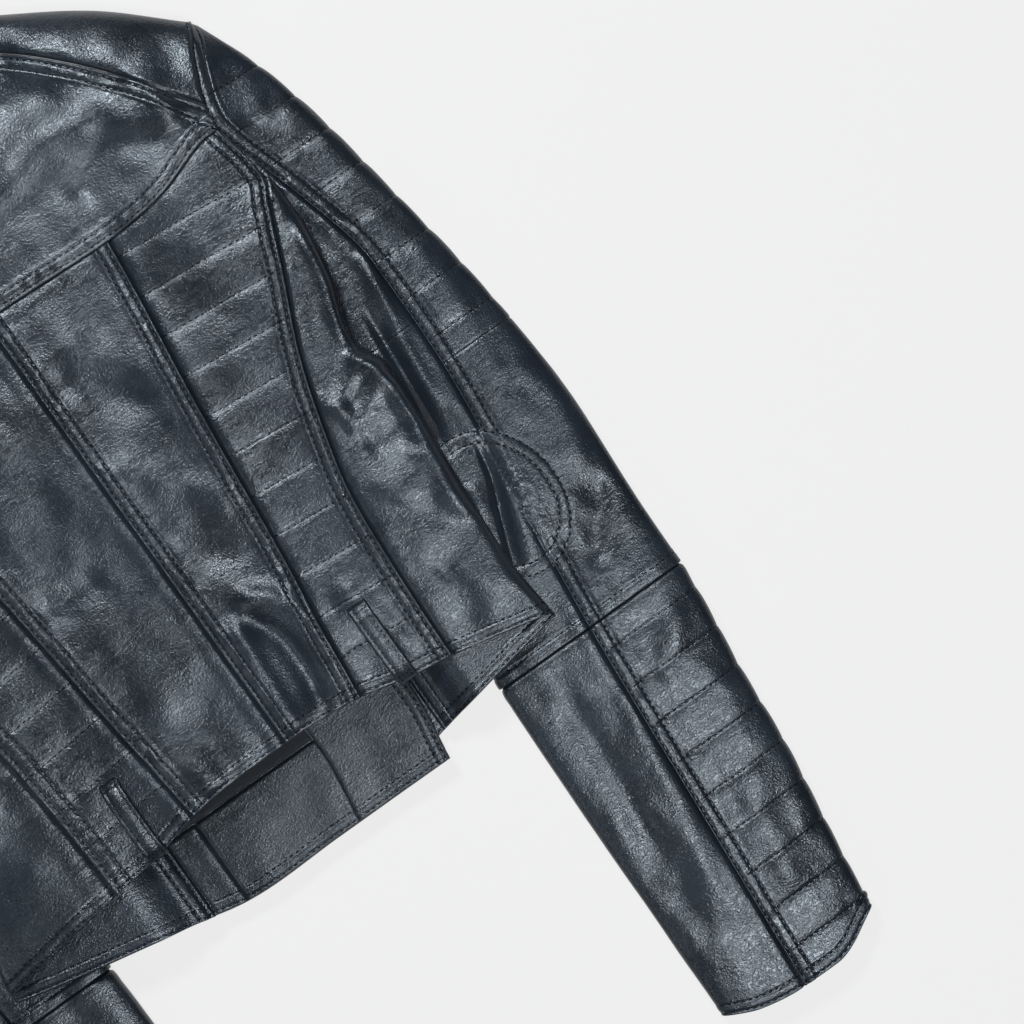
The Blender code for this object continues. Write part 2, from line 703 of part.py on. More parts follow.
def build_zips():
    build_zip_half("main_zip_right", 1)
    build_zip_half("main_zip_left", -1)
    run = np.array(ZIP_HEM) - np.array(ZIP_BREAK)
    run = run / np.linalg.norm(run)
    middle = np.array(ZIP_BREAK) + run * 9.0
    hinge = middle + run * 3.0
    slider = add_pivot("slider_pivot", jacket, (*middle, ZIP_Z))
    pull = add_pivot("pull_pivot", slider, (*hinge, PULL_Z + PULL / 2))
    build_slider("main_zip_slider", middle, run, slider)
    build_pull("main_zip_pull", hinge, run, 24.0, pull)


def centre_on_base():
    """Moves the whole jacket so that the origin is the middle of its base."""
    bpy.context.view_layer.update()
    pieces = [obj for obj in bpy.data.objects if obj.type == "MESH"]
    points = [obj.matrix_world @ v.co for obj in pieces for v in obj.data.vertices]
    low = [min(p[k] for p in points) for k in range(3)]
    high = [max(p[k] for p in points) for k in range(3)]
    jacket.location = (-(low[0] + high[0]) / 2, -(low[1] + high[1]) / 2, -low[2])
    bpy.context.view_layer.update()


def main():
    global jacket
    for obj in list(bpy.data.objects):
        bpy.data.objects.remove(obj)
    jacket = bpy.data.objects.new("jacket", None)
    bpy.context.scene.collection.objects.link(jacket)
    pivots[jacket] = np.zeros(3)
    build_yoke()
    build_right_front()
    build_left_front()
    build_lapels()
    build_collar()
    build_lining()
    build_hanger_loop()
    build_rivet()
    build_zips()
    for side in ("right", "left"):
        build_back(side)
        build_shoulder(side)
        build_front_side(side)
        build_sleeve(side)
        build_belt_loop(side)
    centre_on_base()


main()
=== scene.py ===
"""Looks of the leather riding jacket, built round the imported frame.

Shapes are worked out in millimetres in the plan of the CAD part: +X to the wearer's right, +Y to the
collar, from a point on the hem at the middle of the back. The left half mirrors the right one.
"""

import math

import bpy
import numpy as np
from mathutils import Matrix, Vector


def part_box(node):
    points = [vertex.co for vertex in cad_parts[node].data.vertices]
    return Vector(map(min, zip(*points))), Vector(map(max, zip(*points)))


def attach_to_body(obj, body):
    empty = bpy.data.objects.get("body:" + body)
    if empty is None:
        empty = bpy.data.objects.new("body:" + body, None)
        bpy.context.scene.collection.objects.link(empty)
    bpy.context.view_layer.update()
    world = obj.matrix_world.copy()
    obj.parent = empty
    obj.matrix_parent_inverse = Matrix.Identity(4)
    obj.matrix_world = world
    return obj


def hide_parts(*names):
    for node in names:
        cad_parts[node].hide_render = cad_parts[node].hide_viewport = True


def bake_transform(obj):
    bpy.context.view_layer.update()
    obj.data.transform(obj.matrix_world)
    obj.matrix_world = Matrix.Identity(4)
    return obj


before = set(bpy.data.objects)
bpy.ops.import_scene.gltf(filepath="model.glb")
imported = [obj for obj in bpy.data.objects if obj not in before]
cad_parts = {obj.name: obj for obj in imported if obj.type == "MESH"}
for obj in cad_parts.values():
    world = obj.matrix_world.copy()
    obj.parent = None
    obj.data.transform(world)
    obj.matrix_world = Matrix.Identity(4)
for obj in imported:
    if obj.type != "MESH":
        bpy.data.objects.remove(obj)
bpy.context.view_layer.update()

MM = 0.001
RIVET = (21.0, 297.0)

# Thickness of the materials, and the height of each layer's underside
LEATHER, LINING, FACING, LAPEL, COLLAR = 1.4, 0.6, 1.1, 1.7, 1.8
LAPEL_Z, RIGHT_FRONT_Z, ZIP_Z, RIGHT_INNER_Z = 0.0, 2.4, 4.3, 5.4
LEFT_FRONT_Z, LEFT_INNER_Z, BACK_LINING_Z, BACK_Z = 7.3, 9.2, 24.4, 25.6
SLEEVE_TOP = 20.0

# The left half lies this much wider than the right, between these two distances from the middle
LEFT_SPREAD, SPREAD_FROM, SPREAD_TO = 27.0, 90.0, 173.0

# Outlines of the right half as (y, x) points, read as smooth lines of y
SIDE_FOLD = [
    (-30, 172), (8, 169), (50, 171), (100, 175), (140, 177), (160, 169), (198, 180), (235, 185), (262, 184),
    (300, 174),
]
PRINCESS = [
    (-20, 112), (40, 114.5), (95, 119), (124, 125.8), (170, 140), (215, 160), (250, 175), (264, 181),
    (276, 180.6), (300, 175.6),
]
QUILT_INNER = [(-20, 55), (80, 67), (167, 76), (240, 85), (284, 90)]
ARMHOLE = [(296, 174), (316, 176.8), (340, 186), (361, 197)]
CENTRE = [(-20, 8), (300, 8)]
SLEEVE_OUTER = [
    (-282, 221), (-268, 221.5), (-207, 229), (-163, 235.3), (-113, 239.4), (-55, 246), (5, 248), (66, 251),
    (122, 248.5), (161, 244.2), (224, 234.6), (289, 223.3), (326, 213.3), (361, 199),
]
SLEEVE_INNER = [
    (-282, 117), (-106, 119.5), (-42, 122), (39, 134), (122, 150), (190, 166), (240, 170), (300, 164),
    (326, 166), (361, 184),
]
SLEEVE_SEAM = [
    (-282, 165), (-162, 174), (-41, 183.5), (40, 193), (124, 202), (190, 203), (243, 192), (296, 176.2),
    (304, 174.9), (316, 177.0), (340, 186.3), (361, 197.2),
]
# The left front's free edge, in the same way before it is mirrored: it passes the middle, under the zip
UNDERLAP = [(-61, -76.5), (-17, -82), (200, -44), (440, -30)]
# The height of a sleeve at each y
SLEEVE_HEIGHT = [(-282, 15), (-200, 17), (-60, 19), (120, 20), (240, 20), (300, 19), (361, 14)]

# Outlines as (x, y) points, read as smooth lines of x
BACK_HEM = [(-10, 0), (8, 0), (55, -3), (85, -10), (112, -14), (172, -27)]
RIGHT_FRONT_HEM = [(0, -60), (40, -58), (80, -47), (172, -29)]
LEFT_FRONT_HEM = [(-84, -61), (0, -61), (64, -60.5), (100, -52), (172, -31)]
YOKE_SEAM = [(-10, 289), (8, 289), (90, 286), (130, 289), (165, 300), (176, 301)]
SHOULDER_SEAM = [(60, 438), (100, 407), (140, 366), (177, 316)]
SHOULDER_EDGE = [(60, 456), (90, 440), (114, 426), (160, 396), (197, 362)]
NECK_HALF = 70.0
NECK = [(-NECK_HALF, 431), (0, 412), (NECK_HALF, 431)]
CUFF = [(117, -269), (137, -277), (165, -281), (187, -281), (222, -267)]
FRONT_SPLIT = 84.0
LAP = 1.1  # how far the yoke and the shoulder strips lie over their neighbours
ZIP_HEM, ZIP_BREAK = np.array([38.0, -56.0]), np.array([4.0, 196.0])

# Sewing
STITCH_PITCH, STITCH_LENGTH, THREAD, QUILTING_THREAD = 4.1, 2.9, 0.42, 0.34
UPPER_SEAM_Y, ELBOW_SEAM_Y, UNDERARM_SEAM_Y, HEAD_Y = 122.0, -46.0, 150.0, 360.0
PATCH_CENTRE, PATCH_HALF, PATCH_LEAN = (181.0, 40.0), (38.5, 47.5), 3.0

# The first row of sewing of each quilted piece, the step to the next, and how many there are
BACK_QUILTING, UPPER_QUILTING, FOREARM_QUILTING = (20.6, 25.6, 11), (137.0, 26.1, 8), (-62.5, -24.65, 9)

# Lengths along a sleeve, at its middle, at the shoulder and at the elbow
SLEEVE_MIDDLE, SHOULDER_BEND, ELBOW_BEND = 197.0, (342, 238), (88, -8)

# The sleeve's shape is worked out between these two places
CUFF_END_Y, SHOULDER_END_Y = -286.0, 362.0

# A sleeve's section is an ellipse with these powers of its cosine and sine
ROUND_ACROSS, ROUND_UP = 0.75, 0.6


def corners(node):
    """The lowest and highest corner of a CAD node, in millimetres."""
    low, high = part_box(node)
    return np.array(low) / MM, np.array(high) / MM


# The plan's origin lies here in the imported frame
PLAN = np.append((sum(corners("yoke_rivet")) / 2)[:2] - RIVET, 0.0)


# ---------------------------------------------------------------- curves and noise


def smooth_line(points):
    """A function through the points, in the order of their first number, with no overshoot."""
    xs, ys = (np.array(values, float) for values in zip(*points))
    steps = np.diff(ys) / np.diff(xs)
    slopes = np.empty(len(xs))
    slopes[0], slopes[-1] = steps[0], steps[-1]
    slopes[1:-1] = np.where(steps[:-1] * steps[1:] > 0, (steps[:-1] + steps[1:]) / 2, 0.0)

    def value(at):
        at = np.clip(np.asarray(at, float), xs[0], xs[-1])
        i = np.clip(np.searchsorted(xs, at) - 1, 0, len(xs) - 2)
        width = xs[i + 1] - xs[i]
        t = (at - xs[i]) / width
        start = ys[i] * (1 + 2 * t) * (1 - t) ** 2 + slopes[i] * width * t * (1 - t) ** 2
        end = ys[i + 1] * t * t * (3 - 2 * t) + slopes[i + 1] * width * t * t * (t - 1)
        return start + end

    return value


def constant(value):
    """A line that stays at one value."""
    return lambda at: value + 0.0 * np.asarray(at, float)


def moved(line, by):
    """The same line, a distance further along."""
    return lambda at: line(at) + by


def smoothstep(low, high, at):
    """Rises smoothly from 0 at low to 1 at high."""
    t = np.clip((np.asarray(at, float) - low) / (high - low), 0, 1)
    return t * t * (3 - 2 * t)


def bell(distance, width):
    """A smooth bump of height 1 at distance 0."""
    return np.exp(-(distance / width) ** 2)


def power(value, exponent):
    """A power that keeps the value's sign."""
    return np.sign(value) * np.abs(value) ** exponent


def round_edge(share):
    """The quarter circle that rises from 0 to 1."""
    return np.sqrt(1 - (1 - np.clip(share, 0, 1)) ** 2)


GRADIENTS = np.random.default_rng(41).uniform(0, 2 * np.pi, (64, 64, 8))


def noise(x, y, seed=0):
    """Smooth noise of about -0.7 to 0.7, one bump to a unit of distance."""
    x, y = np.asarray(x, float) + 17.3 * seed, np.asarray(y, float) - 9.1 * seed
    i, j = np.floor(x).astype(int), np.floor(y).astype(int)
    u, v = x - i, y - j
    fade_u, fade_v = u ** 3 * (u * (6 * u - 15) + 10), v ** 3 * (v * (6 * v - 15) + 10)

    def corner(di, dj):
        turn = GRADIENTS[(i + di) % 64, (j + dj) % 64, seed % 8]
        return np.cos(turn) * (u - di) + np.sin(turn) * (v - dj)

    low = corner(0, 0) * (1 - fade_u) + corner(1, 0) * fade_u
    high = corner(0, 1) * (1 - fade_u) + corner(1, 1) * fade_u
    return low * (1 - fade_v) + high * fade_v


def layered(x, y, octaves=3, seed=0):
    """Noise with finer, weaker noise on it."""
    return sum(noise(x * 2 ** k, y * 2 ** k, seed + 3 * k) / 2 ** k for k in range(octaves))


def bent(points):
    """A smooth path of 28 points through a few (Catmull-Rom)."""
    p = np.array(points, float)
    p = np.vstack([2 * p[0] - p[1], p, 2 * p[-1] - p[-2]])
    at = np.linspace(0, len(points) - 1 - 1e-9, 28)
    i, t = np.floor(at).astype(int), (at % 1)[:, None]
    a, b, c, d = p[i], p[i + 1], p[i + 2], p[i + 3]
    square, cube = 2 * a - 5 * b + 4 * c - d, 3 * b - a - 3 * c + d
    return 0.5 * (2 * b + (c - a) * t + square * t ** 2 + cube * t ** 3)


def crease(x, y, points, height, left, right):
    """A ridge (or with a negative height a valley) along a path, with its own width on either side."""
    path = bent(points)
    best = np.full(x.shape, 1e9)
    side, share = np.zeros(x.shape), np.zeros(x.shape)
    count = len(path) - 1
    for k in range(count):
        (ax, ay), (bx, by) = path[k], path[k + 1]
        dx, dy = bx - ax, by - ay
        t = np.clip(((x - ax) * dx + (y - ay) * dy) / (dx * dx + dy * dy), 0, 1)
        away = np.hypot(x - ax - t * dx, y - ay - t * dy)
        near = away < best
        best = np.where(near, away, best)
        side = np.where(near, (y - ay) * dx - (x - ax) * dy, side)
        share = np.where(near, (k + t) / count, share)
    width = np.where(side > 0, left, right)
    ends = smoothstep(0, 0.22, share) * smoothstep(0, 0.22, 1 - share)
    beyond = (share <= 0) | (share >= 1)
    return height * bell(best, width) * np.where(beyond, 0.0, ends)


def with_folds(total, x, y, folds):
    """Adds a list of folds to heights."""
    for path, height, left, right in folds:
        total = total + crease(x, y, path, height, left, right)
    return total


# ---------------------------------------------------------------- heights of the flat garment


def actual_x(x, side):
    """Where a plan distance from the middle lies on its own side."""
    return x if side == "right" else -(x + LEFT_SPREAD * smoothstep(SPREAD_FROM, SPREAD_TO, x))


def placed(points, side, rigid=False):
    """Points of the right half put on the given side: the left is its mirror image, spread outwards."""
    points = np.array(points, float)
    if side == "left":
        x = points[..., 0]
        spread = LEFT_SPREAD if rigid else LEFT_SPREAD * smoothstep(SPREAD_FROM, SPREAD_TO, x)
        points[..., 0] = -(x + spread)
    return points


def back_height(x, y):
    """The back's upper side before its folds, in the plan of the right half."""
    rise = 4.0 * smoothstep(85, 140, x)
    edge = 3.0 * smoothstep(150, 185, x)
    top = 7.0 * smoothstep(390, 440, y)
    return BACK_Z + LEATHER + rise - edge - top


# Folds of the back near the right side: path, height, width to its left and to its right
SIDE_FOLDS = [
    ([(182, 236), (180, 205), (172, 178), (166, 158)], 3.2, 15, 7),
    ([(164, 160), (170, 147), (175, 130), (172, 95), (166, 62), (164, 36)], 4.4, 20, 9),
    ([(172, 154), (160, 146), (146, 137), (132, 131)], 2.6, 6.5, 8),
    ([(176, 139), (164, 132), (148, 124), (134, 121)], 2.2, 6.5, 9),
    ([(170, 146), (157, 138), (142, 130)], -1.6, 5, 5),
    ([(172, 112), (156, 106), (138, 108)], -1.8, 9, 9),
    ([(168, 92), (152, 80), (134, 70)], 1.6, 9, 12),
    ([(170, 46), (150, 32), (128, 24)], -1.8, 12, 12),
]
CENTRE_FOLDS = [
    ([(24, 80), (21, 50), (19, 22), (18, -6)], 4.0, 6, 8),
    ([(28, 72), (40, 50), (40, 24), (33, -6)], -4.2, 6, 7),
    ([(26, 84), (48, 72), (59, 48), (55, 10)], 3.8, 6, 9),
    ([(14, 128), (38, 112), (64, 96)], -2.4, 9, 12),
    ([(12, 190), (30, 166), (52, 140), (66, 118)], 2.4, 9, 14),
    ([(14, 246), (36, 222), (60, 190)], -2.2, 10, 12),
    ([(84, 60), (90, 30), (98, -8)], 3.0, 7, 9),
]
YOKE_FOLDS = [
    ([(20, 326), (60, 344), (100, 350), (140, 332), (172, 310)], 3.4, 14, 10),
    ([(84, 312), (112, 328), (134, 352)], -2.6, 9, 11),
    ([(146, 356), (158, 336), (160, 312)], 3.0, 6, 9),
    ([(14, 372), (50, 384), (92, 380), (130, 362)], -3.2, 12, 14),
]
LEFT_FOLDS = [
    ([(60, 40), (44, 22), (36, -2)], 2.6, 10, 12),
    ([(20, 140), (44, 132), (66, 140)], -1.8, 11, 11),
    ([(168, 150), (150, 138), (134, 128)], 3.2, 7, 9),
    ([(176, 210), (170, 170), (171, 120)], 4.0, 12, 7),
    ([(166, 84), (148, 70), (128, 62)], 2.4, 8, 11),
    ([(16, 240), (40, 230), (66, 236)], 1.6, 12, 12),
]


def drape(x, y, side):
    """How the back's leather lies: broad swells, the folds seen on it and fine wrinkles."""
    at = actual_x(x, side)
    swell = 3.8 * layered(at / 70, y / 84, 3, 1)
    rolled = at * 0.83 - y * 0.55
    across = at * 0.55 + y * 0.83
    mask = smoothstep(-0.05, 0.45, noise(at / 55, y / 55, 5))
    ripple = 0.8 * mask * (0.45 - np.abs(noise(rolled / 24, across / 10, 2)))
    rumple = 0.6 * layered(rolled / 24, across / 62, 2, 7)
    fine = 0.1 * layered(rolled / 9, across / 5, 2, 4) * (0.3 + mask)
    total = swell + ripple + rumple + fine
    folds = SIDE_FOLDS + CENTRE_FOLDS if side == "right" else LEFT_FOLDS
    return with_folds(total, x, y, folds + YOKE_FOLDS) + 0.9


def hem_wave(x, side):
    """The back hem lifts in soft waves."""
    at = actual_x(x, side)
    return 1.8 * noise(at / 34, 0.3, 6) + 0.9 * noise(at / 15, 1.3, 7)


# ---------------------------------------------------------------- seams


def band(lines):
    """Distances from a sewn edge at which a panel needs columns, fine at its stitch lines."""
    reach = max(lines) + 2.4 if lines else 3.2
    marks = {0.0, 0.4, 0.9}
    for line in lines:
        marks |= {line - 0.6, line, line + 0.6}
    found = sorted(m for m in marks if m >= 0)
    for extra in np.arange(0.9, reach + 0.5, 0.95):
        if min(abs(extra - m) for m in found) > 0.55:
            found.append(float(extra))
    return sorted(found)


# Stitch lines beside each kind of sewn edge
EDGE_LINES = {"raised": (2.5, 8.2), "narrow": (1.7, 8.0), "hem": (1.8, 7.2), "lapped": (6.6,)}


def edge_shape(kind, distance, along, seed=0):
    """How a panel's surface rises or falls near one of its edges."""
    d = np.maximum(distance, 0)
    if kind in ("raised", "narrow"):
        near, far = EDGE_LINES[kind]
        rim = -0.95 * (1 - round_edge(d / (near / 2)))
        allowance = 0.75 * (1 - smoothstep(far + 0.2, far + 2.8, d))
        lines = -0.85 * (bell(d - near, 0.65) + bell(d - far, 0.65))
        beads = 0.2 * np.cos(2 * np.pi * along / STITCH_PITCH) * bell(d - near / 2, 0.8)
        between = smoothstep(2.6, 4.2, d) * (1 - smoothstep(6.6, 8.1, d))
        pucker = 0.85 * noise(along / 4.6, 0.5 + 0 * d, seed) + 0.3 * noise(along / 2.3, 3.5 + 0 * d, seed)
        outside = 0.4 * noise(along / 6.0, 7.5 + 0 * d, seed) * bell(d - 11.5, 2.6)
        return rim + allowance + lines + beads + between * pucker + outside
    if kind == "lapped":
        rim = -0.65 * (1 - round_edge(d / 1.0))
        between = smoothstep(0.8, 2.4, d)
        pucker = 0.55 * noise(along / 5.4, 0.5 + 0 * d, seed) * between * (1 - smoothstep(4.8, 6.4, d))
        return rim + pucker - 0.85 * bell(d - 6.6, 0.65) + 0.7 * (1 - smoothstep(6.8, 9.4, d))
    if kind == "tucked":
        swell = 0.35 * bell(d - 5.5, 3.2)
        pucker = 0.45 * noise(along / 5.0, 2.5 + 0 * d, seed + 1) * bell(d - 3.0, 2.4)
        return -1.6 * bell(d, 1.2) + swell + pucker
    if kind == "hem":
        rim = -0.7 * (1 - round_edge(d / 1.1))
        lines = -0.75 * (bell(d - 1.8, 0.6) + bell(d - 7.2, 0.65))
        between = smoothstep(1.9, 3.4, d)
        pucker = 0.34 * noise(along / 5.5, 0.5 + 0 * d, seed) * between * (1 - smoothstep(5.6, 7.1, d))
        return rim + lines + pucker + 0.35 * (1 - smoothstep(7.0, 9.0, d))
    return -0.5 * bell(d, 0.7)


def quilting(row_marks, rows, depth, keep):
    """Rolls between rows of sewing: row_marks are the rows' own numbers, rows the number of each point."""
    last = len(row_marks) - 1
    share = np.clip(np.interp(rows, row_marks, np.arange(last + 1)), 0, last) % 1.0
    roll = 1 - np.abs(2 * share - 1) ** 2.4
    skew = roll * (1 + 0.6 * (share - 0.5))
    inside = (rows >= row_marks[0]) & (rows <= row_marks[-1])
    nearest = np.min(np.abs(rows[..., None] - np.array(row_marks)), axis=-1)
    puffed = np.where(inside, skew, 0.45 * smoothstep(0, 8, nearest))
    return keep * (depth * puffed - 0.5 * bell(nearest, 0.6))


def quilt_rows(first, step, count):
    """Where the rows of sewing lie, in rising order."""
    return sorted(first + step * k for k in range(count))


def quilt_of(patch, depth, keep):
    """The quilting of a panel's grid."""
    numbers = np.tile(patch.row_numbers[:, None], (1, patch.x.shape[1]))
    return quilting(patch.mark_values, numbers, depth, keep)


# ---------------------------------------------------------------- meshes


EDGE_BULGE = 0.35  # how far a cut edge rounds outwards, as a share of the thickness


def to_frame(points):
    """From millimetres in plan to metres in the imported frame."""
    return (np.asarray(points, float) + PLAN) * MM


def add_object(name, points, faces, finish, smooth=True):
    """A mesh of plan points in millimetres, which keeps its rest position for its textures."""
    mesh = bpy.data.meshes.new(name)
    points = to_frame(points)
    mesh.from_pydata(points.tolist(), [], faces if isinstance(faces, list) else faces.tolist())
    rest = mesh.attributes.new("rest", "FLOAT_VECTOR", "POINT")
    rest.data.foreach_set("vector", points.astype(np.float32).ravel())
    mesh.polygons.foreach_set("use_smooth", np.full(len(mesh.polygons), smooth))
    mesh.materials.append(finish)
    mesh.update()
    obj = bpy.data.objects.new(name, mesh)
    bpy.context.scene.collection.objects.link(obj)
    return obj


def grid_normals(points, flip=False, wrap=False):
    """Unit normals of a grid of points."""
    if wrap:
        ring = np.concatenate([points[:, -1:], points, points[:, :1]], axis=1)
        across = ring[:, 2:] - ring[:, :-2]
    else:
        across = np.gradient(points, axis=1)
    normals = np.cross(across, np.gradient(points, axis=0))
    normals /= np.linalg.norm(normals, axis=-1, keepdims=True) + 1e-12
    return -normals if flip else normals


def grid_faces(rows, columns, wrap=False):
    """Four-sided faces of a grid of points, row by row."""
    r, c = np.meshgrid(np.arange(rows - 1), np.arange(columns if wrap else columns - 1), indexing="ij")
    d = (c + 1) % columns
    here, above = r * columns, (r + 1) * columns
    return np.stack([here + c, here + d, above + d, above + c], axis=-1).reshape(-1, 4)


def grid_rim(index):
    """The numbers round the edge of a grid of point numbers."""
    return np.concatenate([index[0, :-1], index[:-1, -1], index[-1, :0:-1], index[:0:-1, 0]])


def shell(name, outside, thickness, finish, flip=False):
    """A closed sheet of leather or cloth under a grid of points, with a rounded edge all round."""
    rows, columns = outside.shape[:2]
    normals = grid_normals(outside, flip)
    inside = outside - normals * thickness
    count = rows * columns
    index = np.arange(count).reshape(rows, columns)
    loop = grid_rim(index)
    inner = index.copy()
    inner[0], inner[-1] = inner[1], inner[-2]
    inner[:, 0], inner[:, -1] = inner[:, 1], inner[:, -2]
    flat = outside.reshape(-1, 3)
    away = flat[loop] - flat[inner.reshape(-1)[loop]]
    away /= np.linalg.norm(away, axis=1, keepdims=True) + 1e-12
    middle = (flat[loop] + inside.reshape(-1, 3)[loop]) / 2 + away * thickness * EDGE_BULGE
    points = np.concatenate([flat, inside.reshape(-1, 3), middle])
    top = grid_faces(rows, columns)
    ring = 2 * count + np.arange(len(loop))
    after = np.roll(np.arange(len(loop)), -1)
    upper = np.stack([loop, ring, ring[after], loop[after]], axis=-1)
    lower = np.stack([ring, count + loop, count + loop[after], ring[after]], axis=-1)
    faces = np.concatenate([top, top[:, ::-1] + count, upper, lower])
    return add_object(name, points, faces[:, ::-1] if flip else faces, finish)


def ring_shell(name, outside, thickness, finish, flip=False):
    """A closed tube wall under a grid that goes right round."""
    rows, columns = outside.shape[:2]
    inside = outside - grid_normals(outside, flip, True) * thickness
    count = rows * columns
    top = grid_faces(rows, columns, True)
    a = np.arange(columns)
    b = (a + 1) % columns
    low = np.stack([a, count + a, count + b, b], axis=-1)
    last = (rows - 1) * columns
    high = np.stack([last + a, last + b, count + last + b, count + last + a], axis=-1)
    faces = np.concatenate([top, top[:, ::-1] + count, low, high])
    points = np.concatenate([outside.reshape(-1, 3), inside.reshape(-1, 3)])
    return add_object(name, points, faces[:, ::-1] if flip else faces, finish)


# ---------------------------------------------------------------- stitches


# A stitch's rings of points: the share of its length, the height of the ring and its size
STITCH_RINGS = [
    (-0.5, -0.34, 0.45), (-0.3, 0.02, 1.0), (0.0, 0.12, 1.0), (0.3, 0.02, 1.0), (0.5, -0.34, 0.45),
]
STITCH_SIDES = 6
stitch_rows = {}


def sew(group, points, normals, skip=1.5, pitch=STITCH_PITCH, length=STITCH_LENGTH, thread=THREAD):
    """Keeps a row of stitches along a path, to be made with the others of its group."""
    steps = np.linalg.norm(np.diff(points, axis=0), axis=1)
    run = np.concatenate([[0], np.cumsum(steps)])
    if run[-1] < 2 * skip + length:
        return
    centres = np.arange(skip + length / 2, run[-1] - skip - length / 2, pitch)
    jitter = 0.12 * np.sin(centres * 5.1)

    def at(where, values):
        return np.stack([np.interp(where, run, values[:, k]) for k in range(3)], axis=-1)

    stitch_rows.setdefault(group, []).append(
        (at(centres + jitter - length / 2, points), at(centres + jitter, points),
         at(centres + jitter + length / 2, points), at(centres, normals), np.full(len(centres), thread))
    )


def make_stitches(group, name, finish):
    """One mesh of all of a group's stitches: short arched threads whose ends sink into the leather."""
    start, middle, end, normal, thread = (np.concatenate(part) for part in zip(*stitch_rows.pop(group)))
    normal /= np.linalg.norm(normal, axis=1, keepdims=True)
    along = end - start
    length = np.linalg.norm(along, axis=1, keepdims=True)
    along = along / length
    sideways = np.cross(along, normal)
    rings = []
    for share, lift, size in STITCH_RINGS:
        centre = middle + along * length * share + normal * lift
        for k in range(STITCH_SIDES):
            turn = 2 * math.pi * k / STITCH_SIDES
            offset = normal * math.cos(turn) * 0.8 + sideways * math.sin(turn) * 1.1
            rings.append(centre + offset * thread[:, None] * size)
    points = np.stack(rings, axis=1)
    per = points.shape[1]
    quads = []
    for r in range(len(STITCH_RINGS) - 1):
        for k in range(STITCH_SIDES):
            a, b = r * STITCH_SIDES + k, r * STITCH_SIDES + (k + 1) % STITCH_SIDES
            quads.append((a, b, b + STITCH_SIDES, a + STITCH_SIDES))
    last = (len(STITCH_RINGS) - 1) * STITCH_SIDES
    quads += [(3, 2, 1, 0), (last, last + 1, last + 2, last + 3)]
    quads += [(0, 5, 4, 3), (last, last + 3, last + 4, last + 5)]
    faces = (np.array(quads)[None] + per * np.arange(len(points))[:, None, None]).reshape(-1, 4)
    return add_object(name, points.reshape(-1, 3), faces, finish)


# ---------------------------------------------------------------- flat panels


def slope_factor(line, at):
    """How much longer a distance across a slanting edge is when it is measured straight along an axis."""
    slope = line(at + 0.5) - line(at - 0.5)
    return np.sqrt(1 + slope ** 2)


ROLL_BAND = [0.0, 0.12, 0.45, 1.0, 1.8, 2.9, 4.2, 5.7, 7.4]


def stations(kinds, low, high, marks, step):
    """Where a panel's columns or rows lie, each as two anchors and a share between them."""
    bands = [ROLL_BAND if kind == "roll" else band(EDGE_LINES.get(kind, ())) for kind in kinds]
    anchors = [("low", d) for d in bands[0]]
    for mark in marks:
        anchors += [("mark", mark + d) for d in (-1.3, -0.6, 0.0, 0.6, 1.3)]
    anchors += [("high", d) for d in reversed(bands[1])]

    def nominal(anchor):
        kind, d = anchor
        return {"low": low + d, "high": high - d, "mark": d}[kind]

    found = [(anchors[0], anchors[0], 0.0)]
    for a, b in zip(anchors, anchors[1:]):
        gap = nominal(b) - nominal(a)
        count = max(1, int(round(gap / step)))
        found += [(a, b, k / count) for k in range(1, count + 1)]
    numbers = np.array([(1 - t) * nominal(a) + t * nominal(b) for a, b, t in found])
    return found, numbers


def spread(found, low, high, low_factor, high_factor, tilt):
    """The positions of those columns or rows between two edges. Each edge is a list, one array a station."""
    placed_at = []
    for j, (a, b, t) in enumerate(found):
        values = []
        for kind, d in (a, b):
            if kind == "low":
                values.append(low[j] + d * low_factor[j])
            elif kind == "high":
                values.append(high[j] - d * high_factor[j])
            else:
                values.append(d + tilt[j])
        placed_at.append(values[0] * (1 - t) + values[1] * t)
    return placed_at


def no_tilt(x):
    """Rows that run straight across."""
    return 0.0 * x


